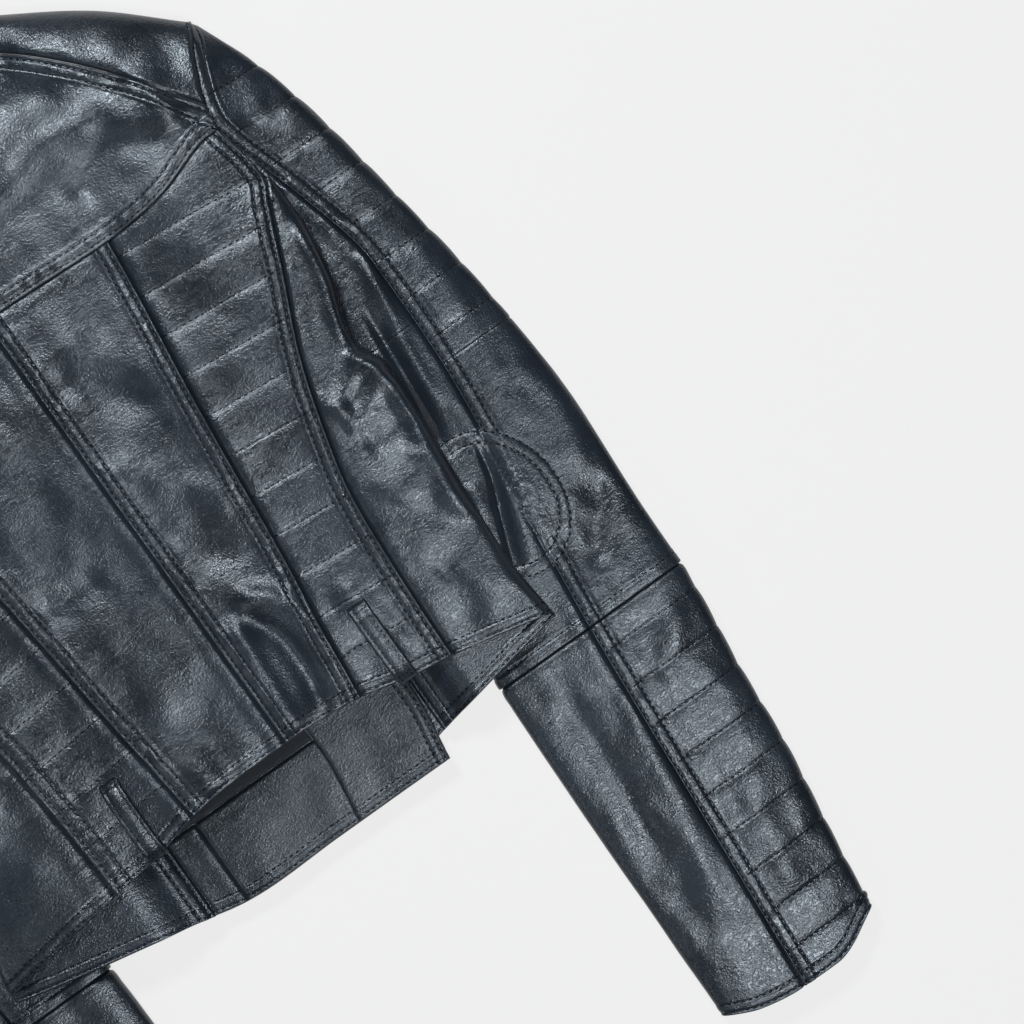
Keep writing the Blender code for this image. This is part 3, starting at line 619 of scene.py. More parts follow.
class Patch:
    """A panel's grid in plan, between a left, right, lower and upper edge, with the kind of each edge."""

    def __init__(self, left, right, low, high, kinds, marks=(), tilt=no_tilt, step=1.8):
        self.kinds = dict(zip(("left", "right", "low", "high"), kinds))
        middle_y = float(low(left(0.0)) + high(left(0.0))) / 2
        x_low, x_high = float(left(middle_y)), float(right(middle_y))
        y_low, y_high = float(low((x_low + x_high) / 2)), float(high((x_low + x_high) / 2))
        columns, _ = stations(kinds[:2], x_low, x_high, (), step)
        rows, self.row_numbers = stations(kinds[2:], y_low, y_high, marks, step)
        self.marks = [int(np.argmin(np.abs(self.row_numbers - m))) for m in marks]
        self.mark_values = list(marks)
        x = np.tile(np.linspace(x_low, x_high, len(columns)), (len(rows), 1))
        y = np.tile(np.linspace(y_low, y_high, len(rows))[:, None], (1, len(columns)))
        for _ in range(7):
            at = list(y.T)
            x = np.stack(spread(
                columns, [left(v) for v in at], [right(v) for v in at],
                [slope_factor(left, v) for v in at], [slope_factor(right, v) for v in at], at,
            ), axis=1)
            at = list(x)
            y = np.stack(spread(
                rows, [low(v) for v in at], [high(v) for v in at],
                [slope_factor(low, v) for v in at], [slope_factor(high, v) for v in at],
                [tilt(v) for v in at],
            ), axis=0)
        self.x, self.y = x, y
        self.distance = {
            "left": (x - left(y)) / slope_factor(left, y),
            "right": (right(y) - x) / slope_factor(right, y),
            "low": (y - low(x)) / slope_factor(low, x),
            "high": (high(x) - y) / slope_factor(high, x),
        }
        self.columns, self.rows = columns, rows

    def edges(self, seed=0):
        """The height that all four edges add."""
        total = 0.0
        for k, (name, kind) in enumerate(self.kinds.items()):
            if kind != "roll":
                along = self.y if name in ("left", "right") else self.x
                total = total + edge_shape(kind, self.distance[name], along, seed + k)
        return total

    def line(self, name, offset):
        """The number of the column or row at a distance from an edge."""
        wanted = ("low" if name in ("left", "low") else "high", offset)
        found = self.columns if name in ("left", "right") else self.rows
        for j, (a, b, t) in enumerate(found):
            if (t == 1.0 and b == wanted) or (t == 0.0 and a == wanted):
                return j
        raise ValueError(f"no line at {offset} from {name}")


def sew_patch(patch, points, normals, group):
    """Stitches along the sewn edges of a patch and its quilting."""
    for name, kind in patch.kinds.items():
        for offset in EDGE_LINES.get(kind, ()):
            j = patch.line(name, offset)
            if name in ("left", "right"):
                sew(group, points[:, j], normals[:, j])
            else:
                sew(group, points[j], normals[j])
    for j in patch.marks:
        sew(group, points[j], normals[j], skip=1.0, thread=QUILTING_THREAD)


def attach(obj, body, stands_for):
    """A piece rides on a body and stands for CAD nodes, if any."""
    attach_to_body(obj, body)
    if stands_for:
        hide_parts(*stands_for)


def flat_panel(name, side, patch, height, thickness, finish, stands_for):
    """A panel of the torso as a closed shell over a patch, sewn along its edges."""
    z = height + patch.edges(len(name))
    points = placed(np.stack([patch.x, patch.y, z], axis=-1), side)
    flip = side == "left"
    obj = shell(name, points, thickness, finish, flip)
    sew_patch(patch, points, grid_normals(points, flip), "torso")
    attach(obj, "torso", stands_for)


# ---------------------------------------------------------------- materials


def fill(node, inputs):
    """Sets a node's inputs: another node's output is linked, anything else is a value."""
    for key, value in inputs.items():
        if isinstance(value, bpy.types.NodeSocket):
            node.id_data.links.new(value, node.inputs[key])
        else:
            node.inputs[key].default_value = value


def node_kit(name):
    """A new node material, its shader, and a function that adds a node with set values."""
    made = bpy.data.materials.new(name)
    made.use_nodes = True
    tree = made.node_tree

    def add(kind, inputs=None, **settings):
        node = tree.nodes.new(kind)
        for key, value in settings.items():
            setattr(node, key, value)
        fill(node, inputs or {})
        return node

    return made, tree.nodes["Principled BSDF"], add


def rest_position(add, scale):
    """The rest position in metres times a scale, so that textures stay put when a joint moves."""
    place = add("ShaderNodeAttribute", attribute_name="rest")
    return add("ShaderNodeMapping", {0: place.outputs["Vector"], 3: scale}).outputs[0]


def texture(add, kind, place, scale, **more):
    """A texture node's first output, with its inputs or settings by name."""
    node = add(kind, {"Vector": place, "Scale": scale})
    for key, value in more.items():
        if key in node.inputs:
            node.inputs[key].default_value = value
        else:
            setattr(node, key, value)
    return node.outputs[0]


def ramp(add, value, low, high, to_low, to_high):
    """Maps a value smoothly from one range to another."""
    inputs = {0: value, 1: low, 2: high, 3: to_low, 4: to_high}
    return add("ShaderNodeMapRange", inputs, interpolation_type="SMOOTHSTEP").outputs[0]


def mixed(add, share, first, second):
    """A mix of two colours."""
    return add("ShaderNodeMix", {0: share, 6: first, 7: second}, data_type="RGBA").outputs[2]


WEAR = 0.16  # how much of the paler colour shows on worn edges


def bump(add, strength, distance, height, normal=None):
    """A normal bent by a height, on top of another normal if given."""
    inputs = {"Strength": strength, "Distance": distance, "Height": height}
    if normal:
        inputs["Normal"] = normal
    return add("ShaderNodeBump", inputs).outputs[0]


def leather(name, dark, light, rough=0.3):
    """Supple coated leather: fine pebbled grain, faint creases, cloudy tone, worn high edges, and painted
    shade that dims its reflection in hollows.
    """
    made, shader, add = node_kit(name)
    place = rest_position(add, (1, 1, 1))
    cloud = texture(add, "ShaderNodeTexNoise", place, 14.0, Detail=3.0, Roughness=0.55)
    mottle = texture(add, "ShaderNodeTexNoise", place, 90.0, Detail=4.0, Roughness=0.6)
    tone = mixed(add, ramp(add, cloud, 0.35, 0.65, 0.0, 1.0), (*dark, 1), (*light, 1))
    ridge = add("ShaderNodeNewGeometry").outputs["Pointiness"]
    worn = ramp(add, ridge, 0.53, 0.66, 0.0, WEAR)
    pale = tuple(min(1.0, 2.6 * c + 0.012) for c in light)
    edge = mixed(add, worn, tone, (*pale, 1))
    shader.inputs["Base Color"].default_value = (*light, 1)
    cloudy = ramp(add, cloud, 0.3, 0.7, -0.03, 0.03)
    gloss = add("ShaderNodeMath", {0: cloudy, 1: ramp(add, mottle, 0.3, 0.7, rough - 0.025, rough + 0.035)})
    pebble = texture(add, "ShaderNodeTexVoronoi", place, 900.0, feature="SMOOTH_F1", Smoothness=0.6)
    fine = texture(add, "ShaderNodeTexNoise", place, 500.0, Detail=4.0, Roughness=0.65)
    stretched = rest_position(add, (130, 330, 200))
    lines = texture(add, "ShaderNodeTexNoise", stretched, 1.0, Detail=3.0, Roughness=0.62, Distortion=1.2)
    creases = add("ShaderNodeMath", {0: lines, 1: 0.5}, operation="SUBTRACT")
    creases = add("ShaderNodeMath", {0: creases.outputs[0]}, operation="ABSOLUTE").outputs[0]
    grain = bump(add, 0.22, 0.0006, fine, bump(add, 0.32, 0.00035, pebble))
    relief = bump(add, 0.14, 0.0012, ramp(add, creases, 0.0, 0.10, 0.0, 1.0), grain)
    # Painted shade: the specular level falls in hollows and creases, standing in for the shade that falls
    # there
    painted_hollow_shade = ramp(add, ridge, 0.36, 0.475, 0.05, 0.65)
    fill(shader, {"Base Color": edge, "Roughness": gloss.outputs[0], "Normal": relief})
    fill(shader, {"Specular IOR Level": painted_hollow_shade})
    return made


def cloth(name, colour, rough, weave=1500.0):
    """A fine woven lining or tape."""
    made, shader, add = node_kit(name)
    place = rest_position(add, (1, 1, 1))
    warp, weft = (
        texture(add, "ShaderNodeTexWave", place, weave, bands_direction=way, Distortion=0.6) for way in "XY"
    )
    cross = add("ShaderNodeMath", {0: warp, 1: weft}, operation="MULTIPLY").outputs[0]
    pale = tuple(1.7 * c for c in colour)
    tone = mixed(add, cross, (*colour, 1), (*pale, 1))
    fill(shader, {"Base Color": tone, "Normal": bump(add, 0.5, 0.0002, cross), "Roughness": rough})
    return made


def metal(name, colour, rough):
    """Plated metal with faint scratches."""
    made, shader, add = node_kit(name)
    place = rest_position(add, (400, 2600, 900))
    scratch = texture(add, "ShaderNodeTexNoise", place, 1.0, Detail=2.0)
    scratches = bump(add, 0.12, 0.0001, scratch)
    dull = ramp(add, scratch, 0.3, 0.7, rough, rough + 0.12)
    fill(shader, {"Normal": scratches, "Roughness": dull, "Base Color": (*colour, 1), "Metallic": 1.0})
    return made


def thread_finish():
    """Dull black thread."""
    made, shader, add = node_kit("black_thread")
    place = rest_position(add, (900, 900, 900))
    twist = texture(add, "ShaderNodeTexNoise", place, 1.0, Detail=2.0)
    fill(shader, {
        "Roughness": ramp(add, twist, 0.3, 0.7, 0.42, 0.6), "Base Color": (0.003, 0.003, 0.004, 1),
        "Specular IOR Level": 0.12,
    })
    return made


HIDE = leather("slate_leather", (0.0070, 0.0100, 0.0138), (0.0120, 0.0165, 0.0220))
# The facings' leather is a darker copy of the slate leather: painted shade for the facings that lie under the
# back hem. It is also a little rougher.
SHADED_FACING_HIDE = leather("facing_leather_painted_shade", (0.0070, 0.0095, 0.0125), (0.0105, 0.0140, 0.0180), rough=0.36)
THREADS = thread_finish()
LINING_CLOTH = cloth("lining_satin", (0.010, 0.010, 0.012), 0.42)
TAPE_CLOTH = cloth("zip_tape", (0.011, 0.011, 0.012), 0.75, 900.0)
CHROME = metal("bright_metal", (0.62, 0.62, 0.64), 0.22)
AGED = metal("rivet_metal", (0.55, 0.53, 0.50), 0.3)


# ---------------------------------------------------------------- the back


def build_back(side):
    """Half of the back: a plain centre panel, a quilted one and a side one that rolls over the edge."""
    centre = smooth_line(CENTRE) if side == "right" else (lambda y: -smooth_line(CENTRE)(y))
    inner, princess, fold = (smooth_line(line) for line in (QUILT_INNER, PRINCESS, SIDE_FOLD))
    hem, yoke = smooth_line(BACK_HEM), smooth_line(YOKE_SEAM)

    def surface(patch, share=1.0):
        lifted = hem_wave(patch.x, side) * (1 - smoothstep(-25, 45, patch.y))
        return back_height(patch.x, patch.y) + lifted + share * drape(patch.x, patch.y, side)

    middle_kind = "raised" if side == "right" else "tucked"
    patch = Patch(centre, inner, hem, yoke, (middle_kind, "raised", "hem", "tucked"))
    height = surface(patch)
    flat_panel(f"centre_panel_{side}", side, patch, height, LEATHER, HIDE, [f"back_centre_panel_{side}"])

    def tilt(x):
        return -9.5 * np.clip((x - 70) / 95, 0, 1.2)

    marks = quilt_rows(*BACK_QUILTING)
    patch = Patch(inner, princess, hem, yoke, ("tucked", "raised", "hem", "tucked"), marks, tilt)
    keep = smoothstep(0.5, 6.0, patch.distance["left"]) * smoothstep(7.8, 12.0, patch.distance["right"])
    rolls = quilt_of(patch, 0.55, keep)
    flat_panel(
        f"quilted_back_panel_{side}", side, patch, surface(patch, 0.75) + rolls, LEATHER, HIDE,
        [f"back_quilted_panel_{side}"],
    )

    patch = Patch(princess, fold, hem, constant(262), ("tucked", "roll", "hem", "plain"), step=1.5)
    height = surface(patch)
    bottom = 24.9
    height = bottom + (height - bottom) * round_edge(patch.distance["right"] / 7.0)
    flat_panel(f"side_panel_{side}", side, patch, height, LEATHER, HIDE, [f"side_back_panel_{side}"])


def plan_x(x):
    """The distance from the middle, in the plan of the right half, of a place on either side."""
    half = np.linspace(0, 260, 521)
    left = half + LEFT_SPREAD * smoothstep(SPREAD_FROM, SPREAD_TO, half)
    return np.where(x >= 0, x, np.interp(-x, left, half))


def build_yoke():
    """One piece across the back, from armhole to armhole."""
    yoke, shoulder, armhole = smooth_line(YOKE_SEAM), smooth_line(SHOULDER_SEAM), smooth_line(ARMHOLE)
    neck = smooth_line(NECK)

    def top(x):
        at = plan_x(x)
        return np.where(at < NECK_HALF, neck(at), shoulder(at)) - 0.2

    patch = Patch(
        lambda y: -(armhole(y) + LEFT_SPREAD + LAP), moved(armhole, LAP), lambda x: yoke(plan_x(x)) - LAP,
        top, ("plain", "plain", "raised", "raised"), step=1.9,
    )
    at = plan_x(patch.x)
    height = back_height(at, patch.y) + yoke_drape(at, patch.y, patch.x)
    flat_panel("yoke", "right", patch, height, LEATHER, HIDE, ["back_yoke"])


def yoke_drape(x, y, at):
    """How the yoke lies: x is the plan distance from the middle, and at where that lies on its own side."""
    total = 3.8 * layered(at / 70, y / 84, 3, 1)
    total = total + 0.6 * layered(at / 48, y / 24, 2, 7)
    total = total + 0.1 * layered(at / 9.0, y / 6.0, 2, 4)
    return (with_folds(total, x, y, YOKE_FOLDS) + 0.9) * smoothstep(0, 6, 445 - y)


def build_shoulder(side):
    """The strip that rolls from the shoulder seam down to the front."""
    seam, edge = smooth_line(SHOULDER_SEAM), smooth_line(SHOULDER_EDGE)
    patch = Patch(
        constant(NECK_HALF + 2), moved(smooth_line(ARMHOLE), LAP), moved(seam, 0.4), edge,
        ("plain", "plain", "tucked", "roll"),
    )
    across = np.clip((patch.y - seam(patch.x)) / (edge(patch.x) - seam(patch.x)), 0, 1)
    top = back_height(patch.x, seam(patch.x)) + yoke_drape(patch.x, patch.y, actual_x(patch.x, side))
    height = 13.5 + (top - 13.5) * np.sqrt(np.clip(1 - across ** 2.4, 0, 1))
    flat_panel(f"shoulder_strip_{side}", side, patch, height, LEATHER, HIDE, [f"front_shoulder_panel_{side}"])


# ---------------------------------------------------------------- the sleeves


# Folds of the sleeves, read like those of the back
SLEEVE_FOLDS = [
    ([(184, 178), (182, 150), (180, 128), (176, 102), (170, 72)], -4.4, 6.5, 2.4),
    ([(193, 82), (187.5, 55), (180, 36), (173, 18), (164, -6)], -4.4, 5.5, 2.2),
    ([(204, 214), (197, 176), (190, 140), (186, 96)], 2.2, 5, 6),
    ([(186, 262), (196, 238), (200, 214)], 1.6, 6, 6),
    ([(180, 62), (170, 40), (160, 22)], 1.6, 6, 5),
    ([(240, 24), (222, 0), (204, -24)], -2.2, 6, 9),
    ([(182, -70), (172, -120), (160, -180), (150, -236)], 2.6, 8, 11),
    ([(150, -60), (146, -120), (138, -190)], -2.4, 7, 9),
    ([(236, -60), (214, -84), (196, -96)], 1.8, 7, 10),
    ([(214, -150), (200, -190), (190, -240)], 1.8, 8, 9),
    ([(252, 96), (244, 60), (230, 20)], 2.0, 8, 9),
    ([(262, 210), (252, 160), (240, 120)], -1.8, 8, 10),
]
LEFT_SLEEVE_FOLDS = [
    ([(196, 180), (188, 150), (182, 118)], -2.6, 8, 7),
]


def sleeve_size(y):
    """The middle of a sleeve's section, half its width, and its height."""
    outer, inner = smooth_line(SLEEVE_OUTER)(y), smooth_line(SLEEVE_INNER)(y)
    return (outer + inner) / 2, (outer - inner) / 2, smooth_line(SLEEVE_HEIGHT)(y)


def head_rise(x, y):
    """The head of the sleeve lifts to meet the back at the armhole."""
    seam, outer = smooth_line(SLEEVE_SEAM)(y), smooth_line(SLEEVE_OUTER)(y)
    beyond = np.clip(1 - (x - seam) / (outer - seam + 1e-6), 0, 1) ** 1.5
    under = np.clip(1 - (seam - x) / 8.0, 0, 1) ** 2
    return 8.0 * smoothstep(250, 312, y) * np.where(x >= seam, beyond, under)


def sleeve_top(x, y):
    """Height of a sleeve's upper side, before its folds."""
    middle, half, height = sleeve_size(y)
    c = np.clip(np.abs(x - middle) / half, 0, 1) ** (1 / ROUND_ACROSS)
    return height / 2 * (1 + np.sqrt(1 - c ** 2 + 1e-9) ** ROUND_UP) + head_rise(x, y)


def sleeve_drape(x, y, side):
    """Folds and wrinkles of a sleeve, measured outwards from its surface."""
    at = x if side == "right" else x + 300.0
    total = 2.3 * layered(at / 46, y / 66, 3, 2)
    mask = smoothstep(-0.1, 0.4, noise(at / 40, y / 48, 6))
    total = total + 0.5 * mask * (0.4 - np.abs(noise((at + 0.4 * y) / 16, (y - 0.4 * at) / 8, 3)))
    total = total + 0.55 * layered(at / 20, y / 52, 2, 7)
    total = total + 0.08 * layered(at / 7.5, y / 5, 2, 5)
    total = with_folds(total, x, y, SLEEVE_FOLDS if side == "right" else LEFT_SLEEVE_FOLDS)
    middle, half, _ = sleeve_size(y)
    return total * (1 - 0.8 * smoothstep(0.72, 1.0, np.abs(x - middle) / half))


def inside_oval(x, y):
    """How far a point lies inside the elbow pad's edge, in millimetres."""
    lean = (x - PATCH_CENTRE[0]) + PATCH_LEAN * (y - PATCH_CENTRE[1]) / PATCH_HALF[1]
    share = np.hypot(lean / PATCH_HALF[0], (y - PATCH_CENTRE[1]) / PATCH_HALF[1])
    return PATCH_HALF[0] * (1 - share)


class TubePatch:
    """A sleeve panel's grid: from the long seam on top round one edge to the seam below."""

    step = 1.9

    def __init__(self, outside, low, high, kinds, marks):
        self.kinds = dict(zip(("left", "right", "low", "high"), kinds))
        table_y = np.arange(CUFF_END_Y, SHOULDER_END_Y, 1.0)
        middle, half, height = sleeve_size(table_y)
        seam = smooth_line(SLEEVE_SEAM)(table_y)
        share = np.clip((seam - middle) / half, -0.97, 0.97)
        start = np.arccos(power(share, 1 / ROUND_ACROSS))
        end = -start if outside else 2 * np.pi - start
        turn = np.linspace(0, 1, 361)
        angle = start[:, None] * (1 - turn) + end[:, None] * turn
        x = middle[:, None] + half[:, None] * power(np.cos(angle), ROUND_ACROSS)
        z = height[:, None] / 2 * (1 + power(np.sin(angle), ROUND_UP))
        z = z + head_rise(x, table_y[:, None]) * smoothstep(0.0, 1.0, z / height[:, None])
        steps = np.hypot(np.diff(x, axis=1), np.diff(z, axis=1))
        run = np.concatenate([np.zeros((len(table_y), 1)), np.cumsum(steps, axis=1)], axis=1)
        columns, _ = stations(kinds[:2], 0.0, float(run[:, -1].mean()), (), self.step)
        zero = np.zeros(len(table_y))
        wanted = np.stack(spread(
            columns, [zero] * len(columns), [run[:, -1]] * len(columns),
            [zero + 1] * len(columns), [zero + 1] * len(columns), [zero] * len(columns),
        ), axis=1)
        table_x = np.stack([np.interp(wanted[i], run[i], x[i]) for i in range(len(table_y))])
        table_z = np.stack([np.interp(wanted[i], run[i], z[i]) for i in range(len(table_y))])
        y_low, y_high = float(low(190.0)), float(high(205.0))
        rows, self.row_numbers = stations(kinds[2:], y_low, y_high, marks, self.step)
        self.marks = [int(np.argmin(np.abs(self.row_numbers - m))) for m in marks]
        self.mark_values = list(marks)
        self.columns, self.rows = columns, rows
        y = np.tile(np.linspace(y_low, y_high, len(rows))[:, None], (1, len(columns)))
        for _ in range(6):
            x = np.stack([np.interp(y[:, k], table_y, table_x[:, k]) for k in range(len(columns))], axis=1)
            at = list(x)
            one = [np.ones(len(columns))] * len(rows)
            y = np.stack(spread(
                rows, [low(v) for v in at], [high(v) for v in at], one, one, [0 * v for v in at],
            ), axis=0)
        self.x, self.y = x, y
        self.z = np.stack([np.interp(y[:, k], table_y, table_z[:, k]) for k in range(len(columns))], axis=1)
        at = np.stack([np.interp(y[:, k], table_y, wanted[:, k]) for k in range(len(columns))], axis=1)
        full = np.interp(y, table_y, run[:, -1])
        self.distance = {"left": at, "right": full - at, "low": y - low(x), "high": high(x) - y}

    edges = Patch.edges
    line = Patch.line


def tube_panel(name, side, patch, outside, group, stands_for, extra):
    """A sleeve's panel as a closed shell round the tube, with its folds, seams and quilting."""
    base = np.stack([patch.x, patch.y, patch.z], axis=-1)
    normals = grid_normals(base, not outside)
    over = smoothstep(0.2, 0.7, patch.z / smooth_line(SLEEVE_HEIGHT)(patch.y))
    drawn = sleeve_drape(patch.x, patch.y, side) * (0.35 + 0.65 * over)
    out = drawn + patch.edges(len(name)) + extra * over
    out = out - 0.9 * over * smoothstep(1.2, 4.0, inside_oval(patch.x, patch.y))
    points = base + normals * out[..., None]
    points[..., 2] = np.maximum(points[..., 2], 0.05)
    points = placed(points, side, True)
    flip = (side == "left") == outside
    obj = shell(name, points, LEATHER, HIDE, flip)
    sew_patch(patch, points, grid_normals(points, flip), group)
    join(obj, group)
    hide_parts(*stands_for)


def join(obj, group):
    """The forearm and torso pieces follow their body; the shoulder and elbow pieces are left where they are.
    """
    kind, _, side = group.partition("_")
    x = SLEEVE_MIDDLE if side == "right" else -(SLEEVE_MIDDLE + LEFT_SPREAD)

    def point(y):
        return tuple(to_frame([x, y, SLEEVE_TOP / 2]))

    if kind == "shoulder":
        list(map(point, SHOULDER_BEND))
        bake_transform(obj)
    elif kind == "elbow":
        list(map(point, ELBOW_BEND))
        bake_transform(obj)
    elif kind == "forearm":
        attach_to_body(obj, f"forearm_sleeve_{side}")
    else:
        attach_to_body(obj, group)


def build_sleeve(side):
    """The three lengths of the sleeve's outside, the three of its underside, and the elbow patch."""
    cuff, seam, upper = smooth_line(CUFF), constant(ELBOW_SEAM_Y), constant(UPPER_SEAM_Y)
    cut = constant(UNDERARM_SEAM_Y)
    # Name, whether outside, lower and upper edge, kinds of edge, joint, CAD nodes, rows of quilting
    panels = [
        ("upper_sleeve_quilting", True, upper, constant(HEAD_Y), ("narrow", "plain", "plain", "plain"),
         "shoulder", ("sleeve_upper_quilted", "sleeve_cap"), quilt_rows(*UPPER_QUILTING)),
        ("elbow_panel", True, seam, upper, ("narrow", "plain", "lapped", "plain"),
         "elbow", ("elbow_panel_upper", "elbow_panel_lower"), ()),
        ("forearm_quilting", True, cuff, seam, ("narrow", "plain", "hem", "tucked"),
         "forearm", ("forearm_quilted",), quilt_rows(*FOREARM_QUILTING)),
        ("underarm_leather_upper", False, cut, constant(298.0), ("tucked", "plain", "flat", "plain"),
         "shoulder", ("undersleeve_upper",), ()),
        ("underarm_leather_elbow", False, seam, cut, ("tucked", "plain", "lapped", "flat"),
         "elbow", ("undersleeve_elbow",), ()),
        ("underarm_leather_forearm", False, cuff, seam, ("tucked", "plain", "hem", "tucked"),
         "forearm", ("undersleeve_forearm",), ()),
    ]
    for name, outside, low, high, kinds, group, nodes, marks in panels:
        patch = TubePatch(outside, low, high, kinds, marks)
        rolls = 0.0
        if marks:
            keep = smoothstep(8.2, 13.0, patch.distance["left"]) * smoothstep(0.5, 4, patch.distance["right"])
            rolls = quilt_of(patch, 0.75, keep)
        stands_for = [f"{node}_{side}" for node in nodes]
        tube_panel(f"{name}_{side}", side, patch, outside, f"{group}_{side}", stands_for, rolls)
    build_elbow_patch(side)


def build_elbow_patch(side):
    """The padded oval on the elbow, which follows the sleeve under it; the long seam shows through."""
    rim = [0.0, 0.35, 0.8, 1.3, 1.9, 2.5, 3.4, 4.6, 5.6, 6.3, 6.9, 7.5, 8.2, 9.2]
    inner = np.linspace(10.6, 37.6, 17)
    inward = np.array(rim + list(inner))
    around = 200
    turn = np.arange(around) * 2 * np.pi / around
    share = 1 - inward[:, None] / PATCH_HALF[0]
    x = PATCH_CENTRE[0] + PATCH_HALF[0] * share * np.cos(turn) - PATCH_LEAN * share * np.sin(turn)
    y = PATCH_CENTRE[1] + PATCH_HALF[1] * share * np.sin(turn)
    across = x - smooth_line(SLEEVE_SEAM)(y)
    shown = np.where(across > 0, edge_shape("narrow", across, y, 3), edge_shape("tucked", -across, y, 3))
    pad = inward[:, None] + 0 * turn
    lines = -0.4 * (bell(pad - 1.9, 0.6) + bell(pad - 7.5, 0.6))
    puffed = 0.15 * bell(pad - 4.7, 1.8) + 0.4 * smoothstep(8.0, 18.0, pad)
    rim_fall = -0.7 * (1 - smoothstep(0.0, 1.9, pad)) + 0.12
    run = turn * 43.0
    between = smoothstep(2.2, 4.0, pad)
    pucker = 0.22 * noise(run / 4.4 + 0 * pad, 1.5 + 0 * pad, 4) * between * (1 - smoothstep(5.6, 7.2, pad))
    z = sleeve_top(x, y) + sleeve_drape(x, y, side) + 0.9 * shown + lines + puffed + rim_fall + pucker
    points = placed(np.stack([x, y, z], axis=-1), side, True)
    flip = side == "left"
    normals = grid_normals(np.concatenate([points, points[:, :1]], axis=1).transpose(1, 0, 2), not flip)
    normals = normals[:-1].transpose(1, 0, 2)
    inside = points - np.abs(normals) * [0, 0, 1.0]
    rows = len(inward)
    count = rows * around
    a = np.arange(around)
    b = (a + 1) % around
    faces = []
    for r in range(rows - 1):
        here, within = r * around, (r + 1) * around
        faces.append(np.stack([here + a, here + b, within + b, within + a], axis=-1))
        faces.append(np.stack([within + a, within + b, here + b, here + a], axis=-1) + count)
    faces.append(np.stack([count + a, count + b, b, a], axis=-1))
    quads = np.concatenate(faces).tolist()
    vertices = np.concatenate([points.reshape(-1, 3), inside.reshape(-1, 3)])
    last = (rows - 1) * around
    tops = vertices[last:count].mean(axis=0)
    bottoms = vertices[count + last:].mean(axis=0)
    vertices = np.concatenate([vertices, [tops, bottoms]])
    quads += [(last + i, last + (i + 1) % around, 2 * count) for i in range(around)]
    quads += [(count + last + (i + 1) % around, count + last + i, 2 * count + 1) for i in range(around)]
    if flip:
        quads = [tuple(reversed(q)) for q in quads]
    obj = add_object(f"elbow_pad_{side}", vertices, quads, HIDE)
    for ring in (rim.index(1.9), rim.index(7.5)):
        closed = np.concatenate([points[ring], points[ring, :1]])
        up = np.concatenate([normals[ring], normals[ring, :1]])
        sew(f"elbow_{side}", closed, up * np.sign(up[:, 2:3] + 1e-9), skip=0.2)
    join(obj, f"elbow_{side}")
    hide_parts(f"elbow_patch_{side}")


# ---------------------------------------------------------------- fronts, facings and linings


def zip_x(y):
    """Where the line of the zip lies."""
    share = (np.asarray(y, float) - ZIP_HEM[1]) / (ZIP_BREAK[1] - ZIP_HEM[1])
    return ZIP_HEM[0] + (ZIP_BREAK[0] - ZIP_HEM[0]) * share


def front_top(x):
    """The top of a front: the neckline, then the edge where it rolls over the shoulder."""
    neckline = smooth_line([(-200, 300), (0, 330), (60, 438), (86, 436)])
    return np.where(x < 62, neckline(x), smooth_line(SHOULDER_EDGE)(np.maximum(x, 62)) - 4)


def sheet_height(patch, z, side, thickness):
    """A layer's upper side: level, with shallow waves, lifting a little at the shoulder and the hem."""
    at = actual_x(patch.x, side)
    lift = (10.5 - z) * smoothstep(405, 440, patch.y)
    loose = 1 - smoothstep(-45, 5, patch.y)
    waves = 0.22 * layered(at / 24, patch.y / 30, 3, 3)
    hem = loose * (1.3 + 1.7 * noise(at / 38, patch.y / 60, 2) + 0.5 * noise(at / 15, patch.y / 20, 3))
    return z + thickness + lift + waves + hem


def layer(name, side, edges, kinds, z, thickness, finish, stands_for, step):
    """One layer of a front. Leather is sewn on its underside too, where it shows from below."""
    patch = Patch(*edges, kinds, step=step)
    height = sheet_height(patch, z, side, thickness)
    flat_panel(name, side, patch, height, thickness, finish, stands_for)
    if finish != LINING_CLOTH:
        points = placed(np.stack([patch.x, patch.y, height + patch.edges(2)], axis=-1), side)
        normals = grid_normals(points, side == "left")
        sew_patch(patch, points - normals * thickness, -normals, "torso")


def facing_top(x):
    """The facings and linings stop below the top of the front."""
    return np.minimum(front_top(x) - 8, 340)


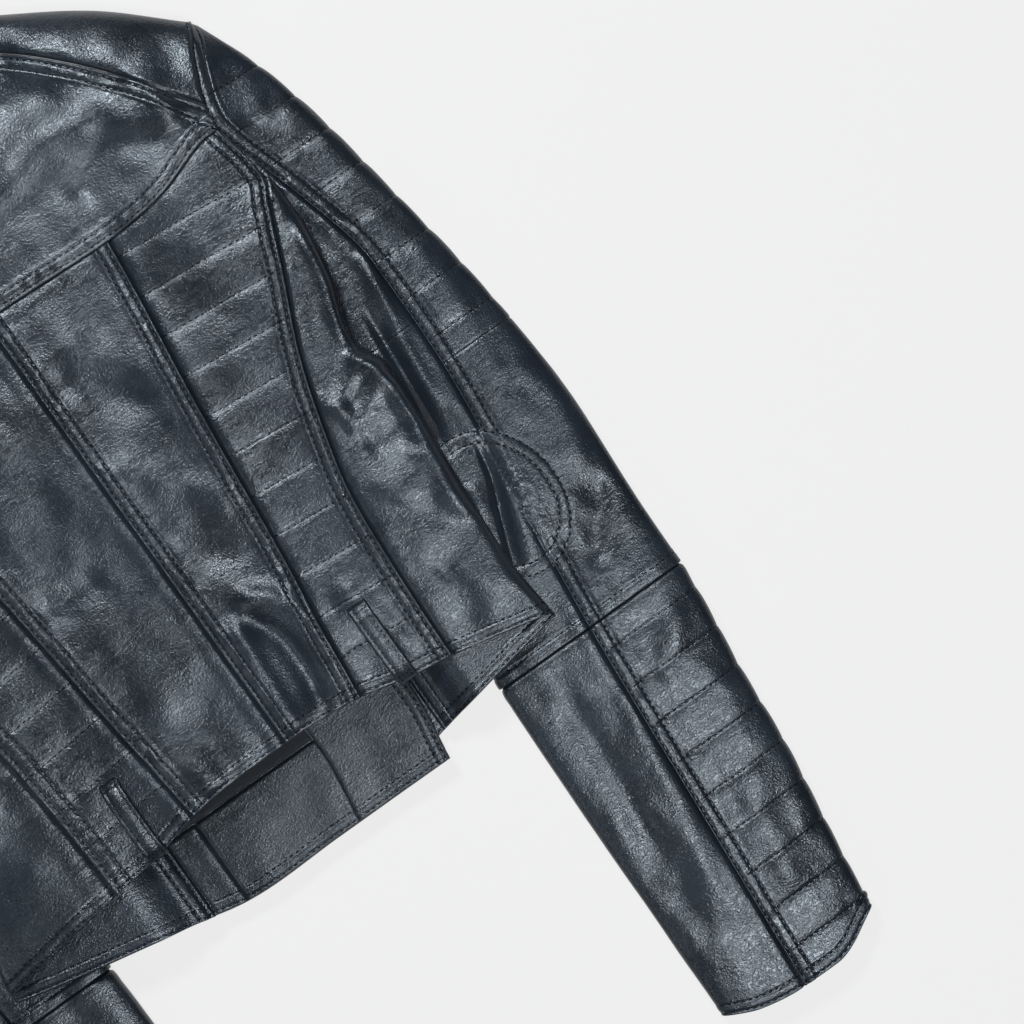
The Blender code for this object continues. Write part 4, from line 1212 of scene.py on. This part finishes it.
def build_fronts():
    """Both fronts: the leather, the facings, the linings and the side panels."""
    hem = {"right": smooth_line(RIGHT_FRONT_HEM), "left": smooth_line(LEFT_FRONT_HEM)}
    split, inner_split = constant(FRONT_SPLIT - 0.15), constant(FRONT_SPLIT - 2.4)
    low_right, low_left = moved(hem["right"], 0.5), moved(hem["left"], 0.5)
    underlap = smooth_line(UNDERLAP)
    above, under_back = constant(-7.0), constant(-8.0)
    bound = ("hem", "plain", "hem", "plain")
    open_edged = ("plain", "plain", "plain", "plain")
    layer(
        "front_right", "right", (moved(zip_x, 5.4), split, hem["right"], front_top),
        ("raised", "plain", "hem", "plain"), RIGHT_FRONT_Z, LEATHER, HIDE, ["front_panel_right"], 3.0,
    )
    layer(
        "front_left", "left", (underlap, split, hem["left"], front_top),
        bound, LEFT_FRONT_Z, LEATHER, HIDE, ["front_panel_left"], 2.6,
    )
    layer(
        "facing_right", "right", (moved(zip_x, 14), moved(zip_x, 40), low_right, facing_top),
        ("plain", "raised", "hem", "plain"), RIGHT_INNER_Z, FACING, SHADED_FACING_HIDE, ["front_facing_right"], 3.0,
    )
    layer(
        "facing_left", "left", (moved(underlap, 0.6), moved(underlap, 62), low_left, facing_top),
        bound, LEFT_INNER_Z, FACING, SHADED_FACING_HIDE, ["front_facing_left"], 2.4,
    )
    layer(
        "hem_facing_left", "left", (moved(underlap, 62.2), constant(62.0), low_left, under_back),
        ("plain", "plain", "hem", "plain"), LEFT_INNER_Z, FACING, SHADED_FACING_HIDE, [], 2.4,
    )
    layer(
        "hem_facing_side_left", "left", (constant(62.2), inner_split, low_left, under_back),
        ("tucked", "plain", "hem", "plain"), LEFT_INNER_Z, FACING, SHADED_FACING_HIDE, [], 2.4,
    )
    layer(
        "front_lining_cloth_right", "right", (moved(zip_x, 41), inner_split, above, facing_top),
        open_edged, RIGHT_INNER_Z, LINING, LINING_CLOTH, ["front_lining_right"], 4.0,
    )
    layer(
        "front_lining_cloth_left", "left", (moved(underlap, 63), inner_split, above, facing_top),
        open_edged, LEFT_INNER_Z, LINING, LINING_CLOTH, ["front_lining_left"], 4.0,
    )
    for side in ("right", "left"):
        build_front_side(side, hem[side])


def build_front_side(side, hem):
    """The front's side panel climbs over the sleeve and meets the back at the side fold."""
    top = smooth_line([(FRONT_SPLIT, 432), (110, 300), (130, 278), (185, 262)])
    start = (RIGHT_FRONT_Z if side == "right" else LEFT_FRONT_Z) + LEATHER
    patch = Patch(
        constant(FRONT_SPLIT - 1.6), moved(smooth_line(SIDE_FOLD), -0.3), hem, top,
        ("raised", "plain", "hem", "plain"), step=2.2,
    )
    climbed = SLEEVE_TOP + 3.6 + LEATHER
    height = start + (climbed - start) * smoothstep(78, 112, patch.x)
    height = height + (LEATHER + 0.2) * (1 - smoothstep(3, 14, patch.distance["left"]))
    at = actual_x(patch.x, side)
    waves = 0.25 * layered(at / 24, patch.y / 30, 3, 3)
    loose = (1 - smoothstep(-45, 5, patch.y)) * (1 - smoothstep(84, 100, patch.x))
    waves = waves + loose * (1.3 + 1.7 * noise(at / 38, patch.y / 60, 2))
    flat_panel(f"front_side_{side}", side, patch, height + waves, LEATHER, HIDE, [f"front_side_panel_{side}"])


def build_lapels():
    """The two notched lapels, folded flat under the fronts."""
    for side, start in (("right", 6.0), ("left", 34.0)):
        inner = smooth_line([(150, start + 2), (200, start), (300, start + 14), (372, start + 30)])
        outer = smooth_line([(150, start + 8), (200, start + 42), (300, start + 66), (372, start + 52)])
        top = smooth_line([(start, 356), (start + 60, 372)])
        patch = Patch(inner, outer, constant(205), top, ("plain", "hem", "hem", "hem"), step=3.0)
        height = LAPEL_Z + LAPEL + 0 * patch.x
        flat_panel(f"notched_lapel_{side}", side, patch, height, LAPEL, HIDE, [f"lapel_{side}"])


def build_collar():
    """A stand that rises from the neck seam, a fall turned down over the yoke, and two front leaves."""
    neck = smooth_line(NECK)
    left, right = constant(-NECK_HALF + 2), constant(NECK_HALF - 2)
    top = smooth_line([(-NECK_HALF, 449), (0, 446), (NECK_HALF, 449)])
    patch = Patch(left, right, moved(neck, 0.6), top, ("plain", "plain", "plain", "plain"), step=2.4)
    height = back_height(np.abs(patch.x), patch.y) - 2.2 + 4.0 * smoothstep(425, 447, patch.y)
    flat_panel("collar_stand_leather", "right", patch, height, LEATHER, HIDE, ["collar_stand"])
    fall_edge = smooth_line([(-NECK_HALF, 380), (0, 366), (NECK_HALF, 380)])
    patch = Patch(left, right, fall_edge, top, ("hem", "hem", "hem", "roll"), step=2.2)
    waves = 0.5 * layered(patch.x / 30, patch.y / 26, 3, 6) + 0.5
    height = BACK_Z + LEATHER + 1.0 + COLLAR + 1.2 - 2.0 * smoothstep(415, 449, patch.y) + waves
    height = 24.0 + (height - 24.0) * round_edge(patch.distance["high"] / 7.0)
    flat_panel("collar_fall_leather", "right", patch, height, COLLAR, HIDE, ["collar_fall"])
    for side, start in (("right", 38.0), ("left", 66.0)):
        inner = smooth_line([(376, start + 6), (436, 60)])
        outer = smooth_line([(376, start + 46), (436, start + 44)])
        patch = Patch(inner, outer, constant(378), constant(430), ("plain", "hem", "hem", "plain"), step=3.0)
        flat_panel(
            f"collar_leaf_leather_{side}", side, patch, LAPEL_Z + LEATHER + 0 * patch.x, LEATHER, HIDE,
            [f"collar_leaf_{side}"],
        )


def build_back_lining():
    """The back lining, hung just under the back panels, with a pleat down its middle."""
    hem = smooth_line(BACK_HEM)
    patch = Patch(
        constant(-81.0), constant(81.0), lambda x: hem(plan_x(x)) + 16, constant(402.0),
        ("plain", "plain", "plain", "plain"), step=3.4,
    )
    at = plan_x(patch.x)
    under = np.minimum(0, drape(at, patch.y, "right")) + np.minimum(0, yoke_drape(at, patch.y, patch.x))
    pleat = -1.2 * bell(patch.x - 3, 2.0) - 0.8 * bell(patch.x + 9, 2.0)
    height = BACK_LINING_Z - 1.4 + LINING + under - 7.5 * smoothstep(380, 440, patch.y) + pleat
    flat_panel("back_lining_cloth", "right", patch, height, LINING, LINING_CLOTH, ["back_lining"])


def build_sleeve_lining(side):
    """A tube of lining just inside each part of a sleeve."""
    turn = np.linspace(0, 2 * np.pi, 97)[:-1]
    count, gap = 60, 3.6
    for part, low, high, body in (
        ("upper", constant(44.0), constant(232.0), f"upper_sleeve_{side}"),
        ("lower", moved(smooth_line(CUFF), 14), constant(36.0), f"forearm_sleeve_{side}"),
    ):
        y = np.tile(np.linspace(float(low(190)), float(high(190)), count)[:, None], (1, len(turn)))
        for _ in range(4):
            middle, half, height = sleeve_size(y)
            x = middle + (half - gap) * power(np.cos(turn), ROUND_ACROSS)
            y = low(x) + (high(x) - low(x)) * np.linspace(0, 1, count)[:, None]
        z = height / 2 + (height / 2 - gap) * power(np.sin(turn), ROUND_UP)
        ruffle = 0.5 * layered(x / 14, y / 22, 2, 4) - 0.35
        z = z + ruffle * np.sign(np.sin(turn))
        points = placed(np.stack([x, y, z], axis=-1), side, True)
        obj = ring_shell(f"sleeve_lining_cloth_{part}_{side}", points, LINING, LINING_CLOTH, side != "left")
        attach(obj, body, [f"sleeve_lining_{part}_{side}"])


# ---------------------------------------------------------------- trims


def build_belt_loop(side):
    """A bowed strap with rounded edges, sewn down at both ends so that a belt passes under it."""
    middle, half, low, high, stand, thickness = 85.0, 5.5, -11.0, 40.0, 6.4, 1.8
    t = np.concatenate([np.linspace(0, 0.12, 7), np.linspace(0.14, 0.86, 40), np.linspace(0.88, 1, 7)])
    across = np.array([-1.0, -0.9, -0.74, -0.62, -0.5, 0.0, 0.5, 0.62, 0.74, 0.9, 1.0])
    y = (low + (high - low) * t)[:, None] + 0 * across
    x = middle + half * across + 0 * y
    base = back_height(middle, y) + drape(middle + 0 * y, y, side) * 0.75
    base = base + hem_wave(middle + 0 * y, side) * (1 - smoothstep(-25, 45, y))
    lift = 0.5 + stand * (1 - np.abs(2 * t - 1) ** 4)[:, None]
    crown = 0.35 * (1 - across ** 2) - 0.3 * bell(np.abs(across) - 0.62, 0.09)
    ends = -0.3 * (bell(y - low - 3.0, 0.5) + bell(y - high + 3.0, 0.5))
    points = placed(np.stack([x, y, base + lift + thickness + crown + ends], axis=-1), side)
    flip = side == "left"
    obj = shell(f"belt_strap_{side}", points, thickness, HIDE, flip)
    normals = grid_normals(points, flip)
    for column in (3, 7):
        sew("torso", points[:, column], normals[:, column], thread=0.28, pitch=3.4, length=2.4)
    for row in (4, len(t) - 5):
        sew("torso", points[row], normals[row], thread=0.3, pitch=2.6, length=2.2, skip=0.6)
    attach(obj, "torso", [f"belt_loop_{side}"])


def rope(name, path, radius, finish):
    """A closed tube along a path, with a rope's ridges."""
    sides, ridges, twist = 18, 3, 0.35
    path = np.array(path, float)
    along = np.gradient(path, axis=0)
    along /= np.linalg.norm(along, axis=1, keepdims=True)
    up = np.array([0.0, 0.0, 1.0])
    side_way = np.cross(along, up)
    side_way /= np.linalg.norm(side_way, axis=1, keepdims=True)
    over = np.cross(side_way, along)
    turn = np.arange(sides) * 2 * np.pi / sides
    phase = np.arange(len(path))[:, None] * twist
    size = radius * (1 + 0.12 * np.cos(ridges * turn + phase))
    points = path[:, None] + size[..., None] * (
        side_way[:, None] * np.cos(turn)[None, :, None] + over[:, None] * np.sin(turn)[None, :, None]
    )
    rows = len(path)
    faces = grid_faces(rows, sides, True)[:, ::-1].tolist()
    faces.append(tuple(range(sides)))
    faces.append(tuple((rows - 1) * sides + k for k in range(sides))[::-1])
    return add_object(name, points.reshape(-1, 3), faces, finish)


def build_hanger_loop():
    """The loop of cord inside the neck, for a hook."""
    turn = np.linspace(0, np.pi, 90)
    drop = 12.0
    path = np.stack([2.2 * drop * np.cos(turn), 403.0 - drop * np.sin(turn), 13.0 + 0 * turn], axis=-1)
    obj = rope("hanger_cord_loop", path, 1.45, TAPE_CLOTH)
    attach(obj, "torso", ["hanger_loop"])


def turned(name, centre, profile, finish):
    """A closed solid of revolution about +Z, from (radius, height) pairs going outwards and down."""
    around = 40
    turn = np.arange(around) * 2 * np.pi / around
    points = [np.array([[centre[0], centre[1], centre[2] + profile[0][1]]])]
    for radius, height in profile[1:]:
        ring = np.stack([centre[0] + radius * np.cos(turn), centre[1] + radius * np.sin(turn),
                         np.full(around, centre[2] + height)], axis=-1)
        points.append(ring)
    faces = [(0, 1 + a, 1 + (a + 1) % around) for a in range(around)]
    for k in range(len(profile) - 2):
        p, q = 1 + k * around, 1 + (k + 1) * around
        faces += [(p + a, q + a, q + (a + 1) % around, p + (a + 1) % around) for a in range(around)]
    faces.append(tuple(1 + (len(profile) - 2) * around + a for a in range(around))[::-1])
    return add_object(name, np.concatenate(points), faces, finish)


def build_rivet():
    """The small domed rivet under the yoke seam."""
    x, y = np.array(RIVET)
    base = float(back_height(x, y)) + float(yoke_drape(x, y, x))
    profile = [
        (0, 1.25), (0.7, 1.2), (1.25, 1.0), (1.55, 0.75), (1.65, 0.55), (1.8, 0.62), (2.0, 0.5), (2.1, 0.2),
        (2.05, -0.4),
    ]
    obj = turned("yoke_rivet_cap", (*RIVET, base + 0.6), profile, AGED)
    attach(obj, "torso", ["yoke_rivet"])


def ring_faces(start, end, count):
    """Faces between two rings of points that begin at these numbers."""
    after = [(k + 1) % count for k in range(count)]
    return [(start + k, start + after[k], end + after[k], end + k) for k in range(count)]


def prism(outline, low, high, bevel, place):
    """Points and faces of a flat solid with bevelled rims, from an outline in its own plane."""
    outline = np.array(outline, float)
    centre = outline.mean(axis=0)
    towards = centre - outline
    towards /= np.linalg.norm(towards, axis=1, keepdims=True)
    small = outline + towards * bevel
    rings = [(small, low), (outline, low + bevel), (outline, high - bevel), (small, high)]
    n = len(outline)
    points = np.concatenate([np.column_stack([ring, np.full(n, z)]) for ring, z in rings])
    faces = [tuple(range(n))[::-1], tuple(3 * n + k for k in range(n))]
    for low_ring, high_ring in ((0, n), (n, 2 * n), (2 * n, 3 * n)):
        faces += ring_faces(low_ring, high_ring, n)
    return place(points), faces


def several(parts):
    """One mesh's points and faces from several closed parts."""
    points, faces, start = [], [], 0
    for part_points, part_faces in parts:
        points.append(part_points)
        faces += [tuple(start + v for v in face) for face in part_faces]
        start += len(part_points)
    return np.concatenate(points), faces


ZIP_LENGTH = float(np.linalg.norm(ZIP_HEM - ZIP_BREAK))
RUN = (ZIP_HEM - ZIP_BREAK) / ZIP_LENGTH
ACROSS = np.array([RUN[1], -RUN[0]])
SLIDER_AT, PULL_AT = 9.0, 12.0  # how far down the zip they rest


def zip_place(centre, z):
    """Puts points of the zip's own frame (along, across, up) on the jacket."""
    def place(points):
        flat = np.asarray(centre) + points[:, :1] * RUN + points[:, 1:2] * ACROSS
        return np.column_stack([flat, points[:, 2] + z])
    return place


def build_zip_half(node, sign):
    """A woven tape with a bead along it, and its chain of teeth."""
    offsets = np.array([1.0, 1.6, 2.4, 3.2, 4.4, 7.0, 10.6, 11.0])
    bead = np.array([0.35, 0.75, 0.85, 0.5, 0.3, 0.3, 0.3, 0.1])
    steps = np.linspace(0, ZIP_LENGTH, 120)
    flat = ZIP_BREAK + steps[:, None, None] * RUN + (offsets * -sign)[None, :, None] * ACROSS
    over = np.concatenate([flat, (ZIP_Z + bead)[None, :, None] + 0 * flat[..., :1]], axis=-1)
    under = over * [1, 1, -1] + [0, 0, 2 * ZIP_Z]
    rows, columns = over.shape[:2]
    count = rows * columns
    index = np.arange(count).reshape(rows, columns)
    loop = grid_rim(index)
    after = np.roll(loop, -1)
    top = grid_faces(rows, columns)
    walls = np.stack([loop, count + loop, count + after, after], axis=-1)
    faces = np.concatenate([top, top[:, ::-1] + count, walls])
    if sign > 0:
        faces = faces[:, ::-1]
    points = np.concatenate([over.reshape(-1, 3), under.reshape(-1, 3)])
    attach(add_object(f"{node}_tape", points, faces, TAPE_CLOTH), "torso", [node])
    pitch, end_gap, slider_gap, parts = 2.5, 3.0, 7.5, []
    tooth = [(-0.62, 0.15), (-0.8, 0.9), (-0.62, 2.6), (0.62, 2.6), (0.8, 0.9), (0.62, 0.15)]
    outline = [(a, -sign * b) for a, b in tooth]
    if sign > 0:
        outline.reverse()
    for at in np.arange(end_gap + (pitch / 2 if sign > 0 else 0.0), ZIP_LENGTH - end_gap, pitch):
        if abs(at - SLIDER_AT) >= slider_gap:
            parts.append(prism(outline, -1.05, 1.05, 0.16, zip_place(ZIP_BREAK + RUN * at, ZIP_Z)))
    points, faces = several(parts)
    attach(add_object(f"{node}_teeth", points, faces, CHROME, smooth=False), "torso", [])


def rounded(points, radius):
    """An outline with its corners rounded."""
    p = np.array(points, float)
    found = []
    for k in range(len(p)):
        before, here, after = p[k - 1], p[k], p[(k + 1) % len(p)]
        a = (before - here) / np.linalg.norm(before - here)
        b = (after - here) / np.linalg.norm(after - here)
        reach = min(radius, 0.45 * np.linalg.norm(before - here), 0.45 * np.linalg.norm(after - here))
        for t in np.linspace(0, 1, 5):
            start, end = (here + a * reach) * (1 - t) ** 2, (here + b * reach) * t * t
            found.append(start + 2 * here * t * (1 - t) + end)
    return found[::-1]


def build_slider():
    """Two rounded plates, the web between them and the bridge that holds the pull."""
    place = zip_place(ZIP_BREAK + RUN * SLIDER_AT, ZIP_Z)
    body = rounded([(-6.0, 4.1), (-6.0, -4.1), (1.5, -4.1), (6.0, -2.7), (6.0, 2.7), (1.5, 4.1)], 1.2)
    parts = [prism(body, 1.5, 2.4, 0.22, place), prism(body, -2.4, -1.5, 0.22, place)]
    web = rounded([(-5.4, 0.33), (-5.4, -0.33), (0.5, -0.33), (0.5, 0.33)], 0.2)
    parts.append(prism(web, -1.55, 1.55, 0.05, place))
    bridge = rounded([(-2.8, 0.9), (-2.8, -0.9), (3.4, -0.9), (3.4, 0.9)], 0.6)
    parts.append(prism(bridge, -3.1, -2.35, 0.2, place))
    points, faces = several(parts)
    obj = add_object("zip_slider_body", points, faces, CHROME, smooth=False)
    attach(obj, "zip_slider", ["main_zip_slider"])


def ring_prism(outer, inner, low, high, place):
    """A flat tab with a hole: two outlines of the same number of points."""
    outer, inner = np.array(outer), np.array(inner)
    n = len(outer)
    rings = [(outer, low), (outer, high), (inner, high), (inner, low)]
    points = np.concatenate([np.column_stack([ring, np.full(n, z)]) for ring, z in rings])
    faces = []
    for r in range(4):
        faces += ring_faces(r * n, (r + 1) % 4 * n, n)
    return place(points), faces


def build_pull():
    """A tapered tab with a hole near its end and a fine raised rim."""
    place = zip_place(ZIP_BREAK + RUN * PULL_AT, 0.0)
    count = 64
    turn = np.arange(count) * 2 * np.pi / count
    length = 24.0
    along = length / 2 + (length / 2) * power(np.cos(turn), 0.6)
    width = (2.2 + 1.4 * along / length) * power(np.sin(turn), 0.6)
    outer = np.column_stack([along, width])
    hole = np.column_stack([length * 0.74 + 2.9 * np.cos(turn), 1.6 * np.sin(turn)])
    inset = outer * [0.955, 0.86] + [0.55, 0]
    parts = [ring_prism(outer, hole, 0.45, 1.25, place), ring_prism(outer, inset, 0.32, 1.4, place)]
    points, faces = several(parts)
    obj = add_object("zip_pull_tab", points, faces, CHROME, smooth=False)
    attach(obj, "zip_pull", ["main_zip_pull"])


# ---------------------------------------------------------------- studio


COOL = (0.80, 0.90, 1.0)
FLOOR_GLOW, WORLD_GLOW = 0.765, 0.025
FLOOR_HALF, FLOOR_Z = 4.0, -0.0012
LIT_PLACE = (0.16, -0.05, 0.0)
# Name, place, size in metres and power in watts
LIGHTS = [
    ("key", (0.18, 1.15, 1.35), (0.45, 0.3), 27.0),
    ("top", (0.25, -0.85, 2.1), (0.5, 0.5), 33.0),
    ("fill", (-1.3, -0.3, 1.1), (0.4, 0.6), 3.0),
]
# The camera looks straight down, turned about the vertical
CAMERA_PLACE, CAMERA_LENS, SENSOR_WIDTH = (0.1989, -0.0524, 1.31), 81.0, 36.0
CAMERA_RIGHT, CAMERA_UP = (0.8141, -0.5807), (0.5807, 0.8141)


def put_in_scene(name, data):
    """A new object in the scene."""
    obj = bpy.data.objects.new(name, data)
    bpy.context.scene.collection.objects.link(obj)
    return obj


def build_floor():
    """A pale floor that glows a little, so that it stays light in the shadows."""
    finish, shader, add = node_kit("pale_floor")
    place = add("ShaderNodeTexCoord").outputs["Object"]
    grain = texture(add, "ShaderNodeTexNoise", place, 60.0, Detail=2.0)
    tone = mixed(add, grain, (0.083, 0.073, 0.066, 1), (0.087, 0.077, 0.070, 1))
    fill(shader, {
        "Base Color": tone, "Roughness": 0.9, "Emission Color": (1, 1, 1, 1), "Emission Strength": FLOOR_GLOW,
    })
    mesh = bpy.data.meshes.new("floor")
    ends = [(-1, -1), (1, -1), (1, 1), (-1, 1)]
    mesh.from_pydata([(FLOOR_HALF * x, FLOOR_HALF * y, 0) for x, y in ends], [], [(0, 1, 2, 3)])
    mesh.materials.append(finish)
    floor = put_in_scene("floor", mesh)
    floor.location.z = FLOOR_Z


def build_studio():
    """Soft lights, the world's glow and the camera."""
    for name, place, size, power_watts in LIGHTS:
        lamp = bpy.data.lights.new(name, "AREA")
        lamp.shape = "RECTANGLE"
        lamp.size, lamp.size_y = size
        lamp.energy = power_watts
        lamp.color = COOL
        light = put_in_scene(name, lamp)
        light.location = place
        direction = np.array(LIT_PLACE) - np.array(place)
        light.rotation_euler = Vector(direction).to_track_quat("-Z", "Y").to_euler()
    world = bpy.data.worlds.new("studio")
    world.use_nodes = True
    fill(world.node_tree.nodes["Background"], {0: (1, 1, 1, 1), 1: WORLD_GLOW})
    bpy.context.scene.world = world

    camera_data = bpy.data.cameras.new("camera")
    camera_data.lens = CAMERA_LENS
    camera_data.sensor_width = SENSOR_WIDTH
    camera = put_in_scene("camera", camera_data)
    camera.matrix_world = Matrix((
        (CAMERA_RIGHT[0], CAMERA_UP[0], 0, CAMERA_PLACE[0]),
        (CAMERA_RIGHT[1], CAMERA_UP[1], 0, CAMERA_PLACE[1]),
        (0, 0, 1, CAMERA_PLACE[2]),
        (0, 0, 0, 1),
    ))
    bpy.context.scene.camera = camera
    bpy.context.scene.view_settings.view_transform = "Standard"


# ---------------------------------------------------------------- the whole scene


for side in ("right", "left"):
    build_back(side)
    build_shoulder(side)
build_yoke()
for side in ("right", "left"):
    build_sleeve(side)
    build_sleeve_lining(side)
    build_belt_loop(side)
build_fronts()
build_lapels()
build_collar()
build_back_lining()
build_hanger_loop()
build_rivet()
build_zip_half("main_zip_right", -1)
build_zip_half("main_zip_left", 1)
build_slider()
build_pull()
for group in list(stitch_rows):
    join(make_stitches(group, f"stitches_{group}", THREADS), group)
build_floor()
build_studio()
